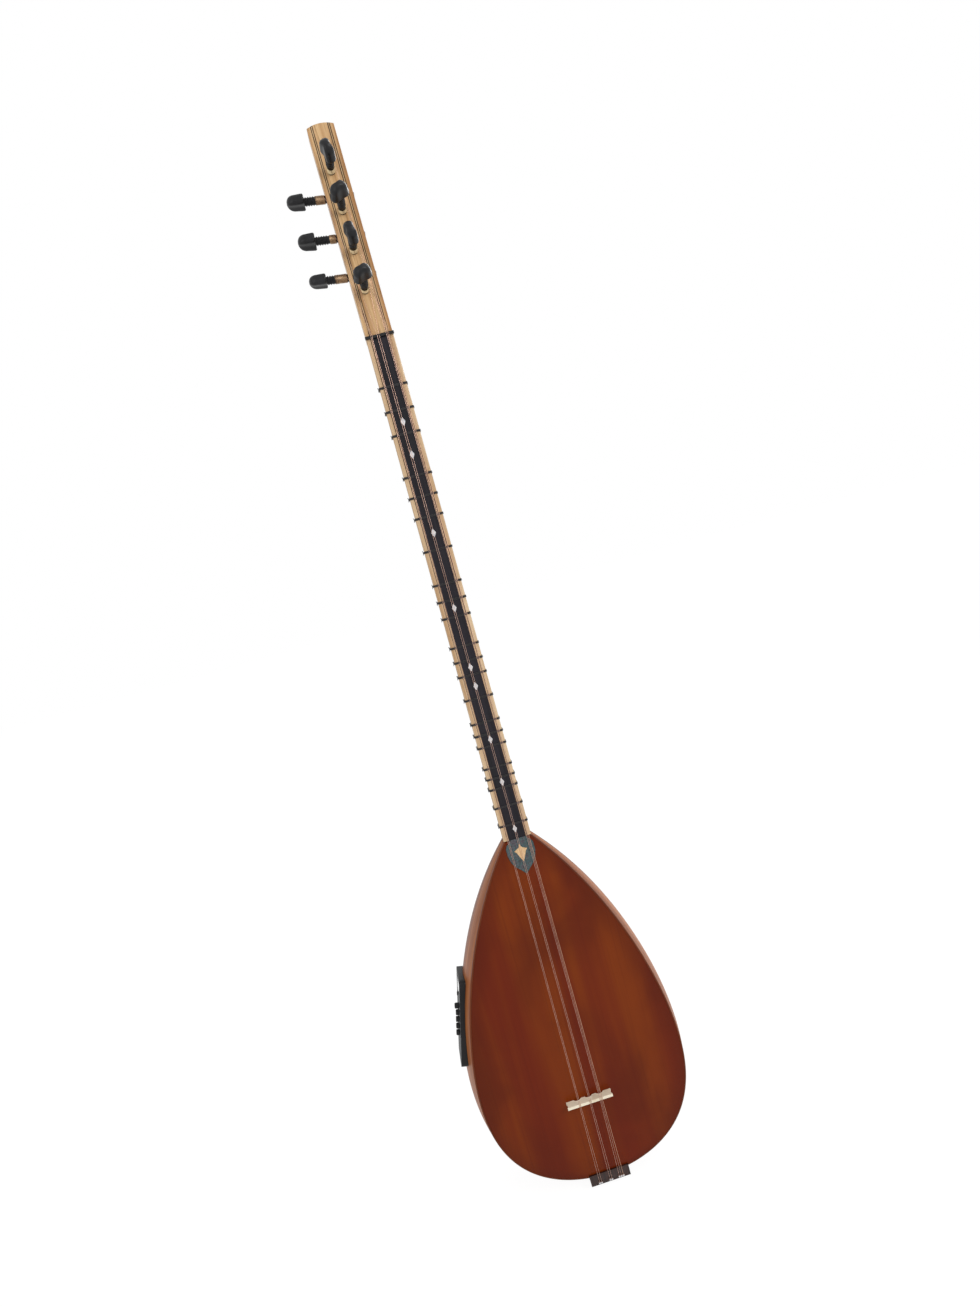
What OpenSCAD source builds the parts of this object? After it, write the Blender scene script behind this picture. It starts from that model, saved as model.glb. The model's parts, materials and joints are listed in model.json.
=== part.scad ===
// Long-neck baglama saz with a stave-built bowl, tied frets, seven friction pegs and a side preamp.
// Origin: centre of the nut's body-side edge, on the plane of the fingerboard and the soundboard.
// +Z runs up the neck to the head, -Y is the side that the strings are on, +X is right from the front.

/* [Strings] */
// Sounding length, from the nut to the bridge
scale_length = 880; // [850:5:900]
// Diameter of a string
string_d = 0.6; // [0.4:0.1:0.8]
// Height of the strings over the fingerboard at the nut
nut_action = 2.2; // [2:0.1:3]
// Height of the bridge
bridge_height = 10.5; // [8:0.5:13]
// Distance between the two outer courses at the nut
nut_spread = 16.6; // [15:0.2:17]
// Distance between the two outer courses at the bridge and the tailpiece
bridge_spread = 26; // [22:1:34]

/* [Body] */
// Length of the soundboard, from the neck to the tail
body_length = 435; // [400:5:500]
// Greatest width of the soundboard
body_width = 248; // [215:2:300]
// Depth of the bowl behind the soundboard
bowl_depth = 180; // [150:5:215]
// Thickness of a bowl stave
stave_wall = 3; // [2:0.5:4]
// Thickness of the soundboard
soundboard_wall = 3.5; // [3:0.5:4.5]
// Width of the dark binding round the soundboard
binding_width = 1.8; // [1.2:0.2:3]
// Lean of the bowl wall under the soundboard's edge, in degrees
wall_lean = 19; // [8:1:22]

/* [Neck] */
// Length of the neck, from the nut to the body
neck_length = 550; // [500:5:600]
// Width of the neck at the nut
neck_width_nut = 28.5; // [27:0.5:33]
// Width of the neck at the body
neck_width_body = 32; // [31:0.5:38]
// Depth of the neck at the nut
neck_depth_nut = 22; // [21:0.5:26]
// Depth of the neck at the body
neck_depth_body = 25; // [24:0.5:30]
// Width of the black fingerboard at the nut
board_width_nut = 15.4; // [14:0.2:17]
// Width of the black fingerboard at the body
board_width_body = 18.6; // [17:0.2:20]
// Thickness of the fingerboard
board_wall = 3; // [2:0.5:4]
// Thickness of the cord that the frets are tied from
fret_cord = 0.9; // [0.7:0.1:1]
// Width of one tied fret
fret_width = 2.4; // [1.8:0.2:3]

/* [Head] */
// Length of the headstock
head_length = 220; // [215:5:250]
// Width of the headstock
head_width = 28; // [26:0.5:32]
// Thickness of the headstock
head_thick = 20; // [18:0.5:21]
// Angle that the headstock is bent back by
head_angle = 8; // [4:1:14]
// Distance from the nut to the lowest front peg
peg_first = 46; // [42:1:52]
// Distance from one front peg to the next
peg_pitch = 41.3; // [38:0.5:44]
// Radius of a peg's shaft
peg_shaft_r = 3.6; // [3.2:0.1:4]
// Visible length of a peg's shaft
peg_neck = 22; // [20:1:28]
// Lean of the pegs towards the end of the head
peg_lean = 6; // [0:1:10]

/* [Preamp] */
// Length of the bezel, along the body
bezel_length = 108; // [104:1:116]
// Width of the bezel
bezel_width = 44; // [42:1:48]
// Distance from the nut to the middle of the preamp
preamp_drop = 756; // [755:1:775]
// Distance from one knob to the next
knob_pitch = 8.4; // [8:0.1:9]
// Radius of the battery door's hinge barrel
door_barrel_r = 1; // [0.8:0.1:1.2]

/* [Hidden] */
$fn = 48;

// Clearances
glue_gap = 0.1;       // between pieces that are glued into each other
run_gap = 0.05;       // between a shaft and the hole that it turns in, on the radius
seat_gap = 0.3;       // between curved faces that lie on each other
move_gap = 0.3;       // round a piece that moves in a recess
string_gap = 0.15;    // between a string and what it passes

// Bowl: 11 staves fan out from the tail to the neck
stave_count = 11;
stave_rings = 22;
stave_facets = 2;
tail_ring = 0.075;                 // lower end of the staves, as a share of the way up the outline
cap_ring = 0.072;                  // edge of the tail block's bare cap, which the staves end on
tail_fullness = 2.92;              // the outline's three shape numbers
middle_pull = -1.6;
shoulder_fullness = 1.59;
outline_steps = 56;
joint_half = neck_width_body / 2;
tail_z = -neck_length - body_length;
stave_sweep = (180 + 2 * wall_lean) / stave_count;
block_gap = 0.3;
heel_block_rings = 1;              // stave rings that the heel block spans
tail_block_rings = 6;              // stave rings that the tail block spans
tenon_width = 12;
tenon_depth = 12;
tenon_length = 24;

// Head and pegs
nut_thick = 3;
peg_x = -1.5;                      // front pegs stand a little to the left, the strings pass on the right
side_peg_depth = 9;                // depth of the side pegs' axes behind the face
winding_r = 4.4;
string_r = string_d / 2;
front_leave = 5;                   // height over the face at which a string leaves a front winding
side_leave = 2.5;                  // distance from the head's side at which a string leaves a side winding
edge_drop = 7;                     // how far below its peg a side string bends over the head's edge
knob_length = 18;
knob_width = 20;
knob_thick = 10;
knob_dish_r = 24;
knob_waist = 6;
front_turns = [105, 22, 100, 18];  // how far each front peg is turned on its axis
side_turns = [0, 8, -6];
front_wound = [6, 5, 5.5, 5];      // length of string wound on each front peg
side_wound = [10, 7, 13];

// Strings: places across the nut, the bridge and the tailpiece
course_pitch_nut = 1.2;
middle_pitch_nut = 2;
course_pitch_bridge = 1.4;
course_pitch_tail = 2.6;
nut_middle = -1.3;
tail_pin_z = tail_z - 5;
tail_string_y = -3.3;
pin_r = 0.8;

// Frets: interval above the open string, as string length ratios of the seventeen-tone layout
fret_ratios = [
    18 / 17, 12 / 11, 9 / 8, 81 / 68, 27 / 22, 81 / 64, 4 / 3, 24 / 17, 16 / 11, 3 / 2, 27 / 17,
    18 / 11, 27 / 16, 16 / 9, 32 / 17, 64 / 33, 2, 36 / 17, 24 / 11, 9 / 4, 81 / 34, 81 / 32,
];
marker_frets = [2, 3, 6, 9, 12, 13, 16, 19];
marker_size = [5, 9.5];
marker_depth = 1;
last_marker_z = -0.612 * scale_length;

// Purfling: three strips on each side of the fingerboard and of the head's face
strip_width = 0.8;
strip_count = 3;
purfling_width = strip_width * strip_count;
head_face_half = board_width_nut / 2;

// Bridge and tailpiece
bridge_length = 55;
bridge_thick = 3.4;
tailpiece_width = 49;
tailpiece_reach = 8;
tailpiece_depth = 18;
tailpiece_rise = 2.2;

// Preamp, in its own frame: x to the front, y up the body, z out of the bowl
bezel_rise = 3.2;
bezel_plate = 1.8;
bezel_corner = 6;
case_width = 36;
case_length = 92;
case_depth = 22;
case_wall = 1.6;
cut_gap = 0.4;
preamp_depth = 36;                 // distance of the preamp's middle behind the soundboard
knob_first = 18;
knob_row_x = 8;
knob_r = 3.4;
knob_height = 4.2;
volume_height = 5.4;
knob_spindle_r = 1.5;
door_size = [30, 24];
door_wall = 1.8;
door_middle = -38;
window_size = [22, 15];
window_middle = 38;
button_place = [-8, 24.5];
button_r = 2.4;
battery_size = [26.5, 17.5, 48.5];
battery_top = bezel_rise - door_wall - 1;
bay_width = battery_size[0] + 2 * (case_wall + seat_gap);
bay_length = battery_size[1] + 2 * (case_wall + seat_gap);
bay_depth = bezel_rise - bezel_plate - battery_top + battery_size[2] + seat_gap + case_wall;
screw_r = 1.5;
screw_head = 1.2;
screw_head_r = 2.3;
screw_length = 11;

// Jack and leads
jack_depth = 29;                   // depth of the jack's axis behind the front plane
jack_body_r = 6;
jack_bore_r = 3.25;
jack_bore_length = 26;
jack_flange_z = tail_z - 0.3;
strap_groove_r = 6.5;
strap_groove_length = 7;
strap_lip_r = 8.5;
strap_lip_wall = 3;
jack_flange_wall = 1.4;
lead_r = 1.3;

// ---- outline and bowl surface ----

// Shape of the outline without the neck's width, s runs from 0 at the tail to 1 at the neck
function belly(s) = s * (1 - s * s) * (tail_fullness + middle_pull * s * s + shoulder_fullness * pow(s, 4));
belly_peak_s = 0.55;
belly_scale = (body_width / 2 - joint_half * pow(belly_peak_s, 4)) / belly(belly_peak_s);
function half_width(s) = joint_half * pow(s, 4) + belly_scale * belly(s);
function outline_z(s) = tail_z + body_length * s * s;
function outline_point(s) = [half_width(s), outline_z(s)];
function unit(v) = v / norm(v);
// Outward direction of the outline at s
function outline_normal(s) =
    let (d = unit(outline_point(min(s + 0.004, 1)) - outline_point(s - 0.004)))
    [d[1], -d[0]];
// Point of the outline moved inwards
function inset_point(s, inset) = outline_point(s) - inset * outline_normal(s);

// Half of the outline, from the tail to the neck, moved inwards
function outline_side(inset) = [for (i = [1:outline_steps]) inset_point(i / outline_steps, inset)];
function flip_x(points) = [for (i = [len(points) - 1:-1:0]) [-points[i][0], points[i][1]]];
// Whole outline in the X-Z plane, cut off square at the neck
function outline(inset) = concat(
    [[0, tail_z + inset]],
    [for (p = outline_side(inset)) [p[0], min(p[1], -neck_length)]],
    flip_x([for (p = outline_side(inset)) [p[0], min(p[1], -neck_length)]]));

// Bowl surface at s and section angle a, moved inwards; a runs from right edge to left edge
function bowl_point(s, a, inset) =
    let (flat = inset_point(s, inset))
    let (wide = flat[0] / cos(wall_lean))
    let (deep = (bowl_depth * half_width(s) * 2 / body_width - inset) / (1 + sin(wall_lean)))
    [wide * cos(a), soundboard_wall + deep * (sin(a) + sin(wall_lean)), min(flat[1], -neck_length)];

// Plate in the X-Z plane, from y = low to y = high
module front_plate(low, high) {
    translate([0, high, 0])
        rotate([90, 0, 0])
            linear_extrude(high - low)
                children();
}

// Closed skin through rings that each have the same number of points, in order.
// A wall's ring runs out along its outer face and back along its inner face, so its ends close in strips.
module skin(rings, wall = false) {
    size = len(rings[0]);
    count = len(rings);
    points = [for (ring = rings) for (p = ring) p];
    sides = [for (r = [0:count - 2]) for (i = [0:size - 1])
        let (a = r * size + i)
        let (b = r * size + (i + 1) % size)
        for (f = i == size - 1
            ? [[a, b, b + size], [a, b + size, a + size]]
            : [[a, b, a + size], [b, b + size, a + size]]) f];
    flat_end = [[for (i = [0:size - 1]) i]];
    strip_end = [for (i = [0:size / 2 - 2])
        for (f = [[i, i + 1, size - 2 - i], [i, size - 2 - i, size - 1 - i]]) f];
    end = wall ? strip_end : flat_end;
    first = [for (f = end) [for (i = [len(f) - 1:-1:0]) f[i]]];
    last = [for (f = end) [for (i = f) (count - 1) * size + i]];
    polyhedron(points, concat(sides, first, last), convexity = 4);
}

// Closed skin through rings that run round to the first one again
module loop_skin(rings) {
    size = len(rings[0]);
    count = len(rings);
    points = [for (ring = rings) for (p = ring) p];
    faces = [for (r = [0:count - 1]) for (i = [0:size - 1])
        let (next = (r + 1) % count * size)
        let (a = r * size + i)
        let (b = r * size + (i + 1) % size)
        for (f = [[b, a, next + i], [b, next + i, next + (i + 1) % size]]) f];
    polyhedron(points, faces, convexity = 6);
}

// One ring of a stave: outer points, then inner points backwards
function stave_ring(s, low, high) = concat(
    [for (i = [0:stave_facets]) bowl_point(s, low + (high - low) * i / stave_facets, 0)],
    [for (i = [stave_facets:-1:0]) bowl_point(s, low + (high - low) * i / stave_facets, stave_wall)]);

module stave(number) {
    low = -wall_lean + (number - 1) * stave_sweep;
    high = low + stave_sweep;
    color(number % 2 == 0 ? "sienna" : "peru")
        difference() {
            skin([for (i = [0:stave_rings]) stave_ring(stave_s(i), low, high)], true);
            if (number > stave_count - 2)
                preamp_place()
                    preamp_cut();
        }
}

// Section of a block that fills the bowl at s, with its corners behind those of the staves
function block_ring(s, inset) = [for (i = [0:stave_count * stave_facets])
    let (p = bowl_point(s, -wall_lean + stave_sweep * i / stave_facets, inset))
    [p[0], max(p[1], soundboard_wall + glue_gap), p[2]]];
function stave_s(ring) = 1 - (1 - tail_ring) * ring / stave_rings;

module heel_block() {
    color("burlywood")
        difference() {
            skin([for (r = [0:heel_block_rings]) block_ring(stave_s(r), stave_wall + block_gap)]);
            translate([-tenon_width / 2 - glue_gap, soundboard_wall, -neck_length - tenon_length - glue_gap])
                cube([tenon_width + 2 * glue_gap, tenon_depth + 2 * glue_gap + 1, tenon_length + 20]);
        }
}

module tail_block() {
    color("burlywood")
        difference() {
            skin(concat(
                [for (r = [stave_rings - tail_block_rings:stave_rings])
                    block_ring(stave_s(r), stave_wall + block_gap)],
                [block_ring(cap_ring, stave_wall + block_gap)],
                [for (r = [1, 0.8, 0.5, 0.2]) block_ring(cap_ring * r, 0)]));
            translate([0, jack_depth, tail_z - 5])
                cylinder(h = 120, r = jack_body_r + seat_gap);
        }
}

module soundboard() {
    lip = binding_width;
    color([0.42, 0.16, 0.04])
        union() {
            front_plate(0, soundboard_wall)
                polygon(outline(lip + glue_gap));
            front_plate(lip, soundboard_wall)
                polygon(outline(0));
        }
}

module edge_binding() {
    color([0.12, 0.05, 0.03])
        front_plate(0, binding_width)
            difference() {
                polygon(outline(0));
                polygon(outline(binding_width));
                translate([-joint_half * 2, -neck_length - 0.5])
                    square([joint_half * 4, 10]);
            }
}

// ---- neck ----

// Depth and widths along the neck, t runs from 0 at the nut to 1 at the body
function along(a, b, t) = a + (b - a) * t;
function neck_t(z) = -z / neck_length;
function neck_half(z) = along(neck_width_nut, neck_width_body, neck_t(z)) / 2;
function neck_deep(z) = along(neck_depth_nut, neck_depth_body, neck_t(z));
function board_half(z) = along(board_width_nut, board_width_body, neck_t(z)) / 2;

// Section of the neck, with the channel for the fingerboard and the purfling
function neck_section(z) =
    let (half = neck_half(z))
    let (deep = neck_deep(z))
    let (channel = board_half(z) + purfling_width + glue_gap)
    concat(
        [[-channel, board_wall], [-channel, 0], [-half, 0]],
        [for (a = [180:-7.5:0]) [half * cos(a), deep - half + half * sin(a)]],
        [[half, 0], [channel, 0], [channel, board_wall]]);

function neck_ring(z, slope) = [for (p = neck_section(z)) [p[0], p[1], z - slope * p[1]]];

module neck() {
    color([0.82, 0.66, 0.45])
        union() {
            skin([neck_ring(-neck_length, 0), neck_ring(nut_thick, tan(head_angle))]);
            translate([-tenon_width / 2, soundboard_wall + glue_gap, -neck_length - tenon_length])
                cube([tenon_width, tenon_depth, tenon_length + 2]);
        }
}

module fingerboard() {
    low = board_half(-neck_length);
    high = board_half(0);
    color([0.1, 0.1, 0.12])
        difference() {
            front_plate(0, board_wall)
                polygon([[-low, -neck_length], [low, -neck_length], [high, 0], [-high, 0]]);
            marker_places()
                marker_shape(marker_depth + 0.05, 0.1);
        }
}

module marker_shape(depth, room) {
    w = marker_size[0] / 2 + room;
    h = marker_size[1] / 2 + room;
    front_plate(-room, depth)
        polygon([[0, h], [w, 0], [0, -h], [-w, 0]]);
}

function fret_z(number) = -scale_length * (1 - 1 / fret_ratios[number - 1]);

module marker_places() {
    for (number = marker_frets)
        translate([0, 0, (fret_z(number) + fret_z(number + 1)) / 2])
            children();
    translate([0, 0, last_marker_z])
        children();
}

module markers() {
    color("gainsboro")
        marker_places()
            marker_shape(marker_depth, 0);
}

// One strip beside the fingerboard, number 0 is the innermost
module neck_strip(side, number) {
    in = number * strip_width;
    out = in + strip_width;
    low = board_half(-neck_length);
    high = board_half(0);
    front_plate(0, board_wall)
        polygon([
            [side * (low + in), -neck_length], [side * (low + out), -neck_length],
            [side * (high + out), 0], [side * (high + in), 0]]);
}

// One strip in the face of the head
module head_strip(side, number) {
    in = head_face_half + number * strip_width;
    head_frame()
        intersection() {
            translate([side > 0 ? in : -in - strip_width, 0, 0])
                cube([strip_width, purfling_width, head_length + 5]);
            head_end();
        }
}

module purfling_dark() {
    color([0.16, 0.1, 0.06])
        for (side = [-1, 1])
            for (number = [0, 2]) {
                neck_strip(side, number);
                head_strip(side, number);
            }
}

module purfling_light() {
    color([0.85, 0.72, 0.5])
        for (side = [-1, 1]) {
            neck_strip(side, 1);
            head_strip(side, 1);
        }
}

// The slab that rounds off the end of the head and its face's strips
head_end_r = 34;
module head_end() {
    translate([0, -1, head_length - head_end_r])
        rotate([-90, 0, 0])
            cylinder(h = head_thick + 2, r = head_end_r);
    translate([-head_width, -1, 0])
        cube([2 * head_width, head_thick + 2, head_length - head_end_r]);
}

// Frame of the bent-back head: face on y = 0, length along z
module head_frame() {
    translate([0, 0, nut_thick])
        rotate([-head_angle, 0, 0])
            children();
}
function head_to_body(p) = [
    p[0],
    p[1] * cos(head_angle) + p[2] * sin(head_angle),
    nut_thick - p[1] * sin(head_angle) + p[2] * cos(head_angle)];

function front_peg_z(number) = peg_first + (4 - number) * peg_pitch;
function side_peg_z(number) = peg_first + (3.5 - number) * peg_pitch;

module front_peg_place(number) {
    head_frame()
        translate([peg_x, 0, front_peg_z(number)])
            rotate([90 - peg_lean, 0, 0])
                children();
}

module side_peg_place(number) {
    head_frame()
        translate([-head_width / 2, side_peg_depth, side_peg_z(number)])
            rotate([0, -90 + peg_lean, 0])
                children();
}

module headstock() {
    hole_r = peg_shaft_r + run_gap;
    color([0.8, 0.62, 0.4])
        difference() {
            head_frame()
                intersection() {
                    translate([-head_width / 2, 0, 0])
                        cube([head_width, head_thick, head_length]);
                    head_end();
                }
            head_frame()
                for (side = [-1, 1])
                    translate([
                        side * (head_face_half + purfling_width / 2) - purfling_width / 2 - glue_gap, -1, -1])
                        cube([purfling_width + 2 * glue_gap, purfling_width + glue_gap + 1, head_length + 5]);
            for (number = [1:4])
                front_peg_place(number)
                    translate([0, 0, -head_thick - 6])
                        cylinder(h = head_thick + 12, r = hole_r);
            for (number = [1:3])
                side_peg_place(number)
                    translate([0, 0, -head_width - 6])
                        cylinder(h = head_width + 12, r = hole_r);
        }
}

// ---- nut, frets, bridge and tail ----

// Places of the strings of one course: 0 left, 1 middle, 2 right
course_sizes = [2, 2, 3];
function course_x(course, index, spread, pitch, middle) =
    middle * (course == 1 ? 1 : 0) + (course - 1) * spread / 2
    + (index - (course_sizes[course] - 1) / 2) * pitch;
function nut_x(course, index) =
    course_x(course, index, nut_spread, course == 1 ? middle_pitch_nut : course_pitch_nut, nut_middle);
function bridge_x(course, index) = course_x(course, index, bridge_spread, course_pitch_bridge, 0);
function tail_x(course, index) = course_x(course, index, bridge_spread, course_pitch_tail, 0);

module each_string() {
    for (course = [0:2])
        for (index = [0:course_sizes[course] - 1]) {
            $course = course;
            $index = index;
            children();
        }
}

module nut() {
    bar_rise = nut_action + 0.4;
    bar_width = neck_width_nut + 1.6;
    tongue = board_width_nut + 2 * purfling_width - 0.2;
    color([0.06, 0.06, 0.06])
        difference() {
            union() {
                translate([-bar_width / 2, -bar_rise, 0])
                    cube([bar_width, bar_rise, nut_thick - 0.1]);
                translate([-tongue / 2, -0.1, 0])
                    cube([tongue, board_wall + 0.1, nut_thick - board_wall * tan(head_angle) - 0.1]);
            }
            each_string()
                translate([nut_x($course, $index) - string_r - string_gap / 2, -bar_rise - 1, -1])
                    cube([string_d + string_gap, 1 + bar_rise - nut_action + string_r + 0.1, nut_thick + 2]);
        }
}

// Outline of the neck at z, grown by room
module neck_loop_shape(z, room) {
    half = neck_half(z) + room;
    centre = neck_deep(z) - neck_half(z);
    translate([0, centre])
        intersection() {
            circle(r = half);
            translate([-half, 0])
                square([2 * half, half]);
        }
    translate([-half, -room])
        square([2 * half, centre + room]);
}

module tied_frets() {
    color([0.05, 0.05, 0.05])
        for (number = [1:len(fret_ratios)])
            translate([0, 0, fret_z(number) - fret_width / 2])
                linear_extrude(fret_width)
                    difference() {
                        neck_loop_shape(fret_z(number), fret_cord + glue_gap);
                        neck_loop_shape(fret_z(number), glue_gap);
                    }
}

module bridge() {
    half = bridge_length / 2;
    foot_r = 5;
    color([0.93, 0.89, 0.78])
        difference() {
            translate([0, 0, -scale_length - bridge_thick / 2])
                linear_extrude(bridge_thick)
                    difference() {
                        polygon([
                            [-half, 0], [half, 0], [half - 1.5, -bridge_height * 0.5], [half, -bridge_height],
                            [-half, -bridge_height], [-half + 1.5, -bridge_height * 0.5]]);
                        for (x = [-half * 0.5, 0, half * 0.5])
                            translate([x, foot_r * 0.45])
                                circle(r = foot_r);
                    }
            each_string()
                translate([bridge_x($course, $index), -bridge_height, -scale_length - bridge_thick])
                    cylinder(h = bridge_thick * 2, r = string_r + string_gap);
        }
}

module tailpiece() {
    pocket_r = pin_r + run_gap;
    color([0.16, 0.09, 0.05])
        difference() {
            union() {
                translate([-tailpiece_width / 2, -tailpiece_rise, tail_z - seat_gap - tailpiece_reach])
                    cube([tailpiece_width, tailpiece_rise + tailpiece_depth, tailpiece_reach]);
                translate([-tailpiece_width / 2, -tailpiece_rise, tail_z - seat_gap - 0.1])
                    cube([tailpiece_width, tailpiece_rise, 6]);
            }
            each_string()
                translate([tail_x($course, $index), -tailpiece_rise - 1, tail_pin_z])
                    rotate([-90, 0, 0])
                        cylinder(h = 9, r = pocket_r);
        }
}

module string_pins() {
    color("silver")
        each_string()
            translate([tail_x($course, $index), -tailpiece_rise - 2.2, tail_pin_z])
                rotate([-90, 0, 0])
                    union() {
                        cylinder(h = 9, r = pin_r);
                        cylinder(h = 0.6, r = pin_r + 0.3);
                    }
}

// ---- strings ----

// Wire through a list of points, with a mitred ring at each
wire_sides = 10;
module wire(points, r) {
    last = len(points) - 1;
    skin([for (i = [0:last])
        let (before = unit(points[max(i, 1)] - points[max(i, 1) - 1]))
        let (after = unit(points[min(i, last - 1) + 1] - points[min(i, last - 1)]))
        let (d = unit(before + after))
        let (side = unit(cross([0, 1, 0.2], d)))
        let (up = cross(d, side))
        [for (k = [0:wire_sides - 1])
            points[i] + r * (cos(k * 360 / wire_sides) * side - sin(k * 360 / wire_sides) * up)]]);
}

// Where a string leaves the winding of a front peg, on the right of the shaft
function front_start(number) = head_to_body([
    peg_x + winding_r + string_r + string_gap,
    -front_leave * cos(peg_lean),
    front_peg_z(number) + front_leave * sin(peg_lean)]);

// Where a string leaves the winding of a side peg, in front of the shaft, and bends over the edge
function side_start(number) = head_to_body([
    -head_width / 2 - side_leave * cos(peg_lean),
    side_peg_depth - winding_r - string_r - string_gap,
    side_peg_z(number) + side_leave * sin(peg_lean)]);
function side_bend(number) = head_to_body([
    -head_width / 2 - string_r, -string_r - string_gap, side_peg_z(number) - edge_drop]);

function string_run(course, index) = [
    [nut_x(course, index), -nut_action, nut_thick / 2],
    [bridge_x(course, index), -bridge_height, -scale_length],
    [tail_x(course, index), tail_string_y, tail_pin_z + pin_r + 0.2],
];

module strings_left() {
    color("silver")
        for (index = [0, 1])
            wire(concat([side_start(3 - index), side_bend(3 - index)], string_run(0, index)), string_r);
}

module strings_middle() {
    color("silver") {
        wire(concat([side_start(1), side_bend(1)], string_run(1, 0)), string_r);
        wire(concat([front_start(4)], string_run(1, 1)), string_r);
    }
}

module strings_right() {
    color("silver")
        for (index = [0:2])
            wire(concat([front_start(3 - index)], string_run(2, index)), string_r);
}

// ---- pegs ----

// Outline of a peg's knob: flat edge towards the shaft, domed outer end
module knob_shape() {
    dome_r = knob_length * 0.5;
    bottom = knob_width / 2;
    translate([0, knob_length - dome_r])
        circle(r = dome_r);
    polygon([
        [-bottom + 1, 0], [bottom - 1, 0], [bottom, 1.5], [bottom, 4],
        [dome_r, knob_length - dome_r], [-dome_r, knob_length - dome_r], [-bottom, 4], [-bottom, 1.5]]);
}

module peg(grip) {
    ring_r = peg_shaft_r + 0.7;
    color([0.07, 0.07, 0.08])
        union() {
            translate([0, 0, -grip])
                cylinder(h = grip + peg_neck + 1, r = peg_shaft_r);
            for (z = [peg_neck - 5, peg_neck - 1.6])
                translate([0, 0, z])
                    cylinder(h = 1.6, r = ring_r);
            translate([0, 0, peg_neck])
                difference() {
                    translate([0, knob_thick / 2, 0])
                        rotate([90, 0, 0])
                            linear_extrude(knob_thick)
                                knob_shape();
                    for (side = [-1, 1])
                        translate([0, side * (knob_dish_r + knob_waist / 2), -1])
                            cylinder(h = knob_length + 2, r = knob_dish_r);
                }
        }
}

module winding(wound) {
    color("goldenrod")
        translate([0, 0, 1])
            difference() {
                cylinder(h = wound, r = winding_r);
                translate([0, 0, -1])
                    cylinder(h = wound + 2, r = peg_shaft_r + glue_gap / 2);
            }
}

module front_peg(number) {
    front_peg_place(number)
        rotate([0, 0, front_turns[number - 1]])
            peg(head_thick + 1);
}

module side_peg(number) {
    side_peg_place(number)
        rotate([0, 0, 90 + side_turns[number - 1]])
            peg(head_width + 1);
}

// ---- plaque and star ----

plaque_half = 16;
plaque_length = 43;
plaque_rise = 0.8;
star_rise = 0.5;
module plaque() {
    top = board_half(-neck_length);
    color([0.2, 0.32, 0.33])
        translate([0, 0, -neck_length])
            front_plate(-plaque_rise, 0)
                difference() {
                    polygon([
                        [top, 0], [top + 2, -3], [plaque_half - 2, -5], [plaque_half, -9], [plaque_half, -18],
                        [plaque_half - 2, -26], [10.5, -32], [5, -37.5], [0, -plaque_length], [-5, -37.5],
                        [-10.5, -32], [2 - plaque_half, -26], [-plaque_half, -18], [-plaque_half, -9],
                        [2 - plaque_half, -5], [-top - 2, -3], [-top, 0]]);
                    for (side = [-1, 1]) {
                        translate([side * (plaque_half - 1), -29.5])
                            circle(r = 2.6);
                        translate([side * 7.2, -38.5])
                            circle(r = 2.4);
                    }
                }
}

module plaque_star() {
    tips = [[0, 9], [6.5, 2.5], [3.2, -3.5], [0, -9.5], [-3.2, -3.5], [-6.5, 2.5]];
    waists = [[2, 3], [3, -0.6], [1, -3.6], [-1, -3.6], [-3, -0.6], [-2, 3]];
    color([0.88, 0.78, 0.58])
        translate([0, 0, -neck_length - 17])
            front_plate(-plaque_rise - star_rise, -plaque_rise)
                polygon([for (i = [0:5]) for (p = [tips[i], waists[i]]) p]);
}

// ---- preamp ----

preamp_s = sqrt((body_length + neck_length - preamp_drop) / body_length);
preamp_half = half_width(preamp_s) / cos(wall_lean);
preamp_reach = preamp_half * cos(2);
preamp_turn = -atan((half_width(preamp_s + 0.1) - half_width(preamp_s - 0.1))
    / (outline_z(preamp_s + 0.1) - outline_z(preamp_s - 0.1)));

module preamp_place() {
    translate([-preamp_reach, soundboard_wall + preamp_depth, outline_z(preamp_s)])
        rotate([0, preamp_turn - 90, 0])
            rotate([0, 0, -90])
                children();
}
function preamp_to_body(p) = [
    -preamp_reach + p[1] * sin(preamp_turn) - p[2] * cos(preamp_turn),
    soundboard_wall + preamp_depth - p[0],
    outline_z(preamp_s) + p[1] * cos(preamp_turn) + p[2] * sin(preamp_turn)];

module preamp_cut() {
    translate([-case_width / 2 - cut_gap, -case_length / 2 - cut_gap, -40])
        cube([case_width + 2 * cut_gap, case_length + 2 * cut_gap, 80]);
    screw_holes();
}

// Height of the bowl's surface in the preamp's frame, found by closing in on the section through y
function surface_seek(x, y, s, count) =
    let (deep = bowl_depth * half_width(s) * 2 / body_width / (1 + sin(wall_lean)))
    let (out = half_width(s) / cos(wall_lean) * cos(asin((preamp_depth - x) / deep - sin(wall_lean))))
    let (rise = (y + (out - preamp_reach) * sin(preamp_turn)) / cos(preamp_turn))
    count == 0
        ? (out - preamp_reach) * cos(preamp_turn) + rise * sin(preamp_turn)
        : surface_seek(x, y, sqrt((outline_z(preamp_s) + rise - tail_z) / body_length), count - 1);
function surface_z(p) = surface_seek(p[0], p[1], preamp_s, 6);

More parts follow.
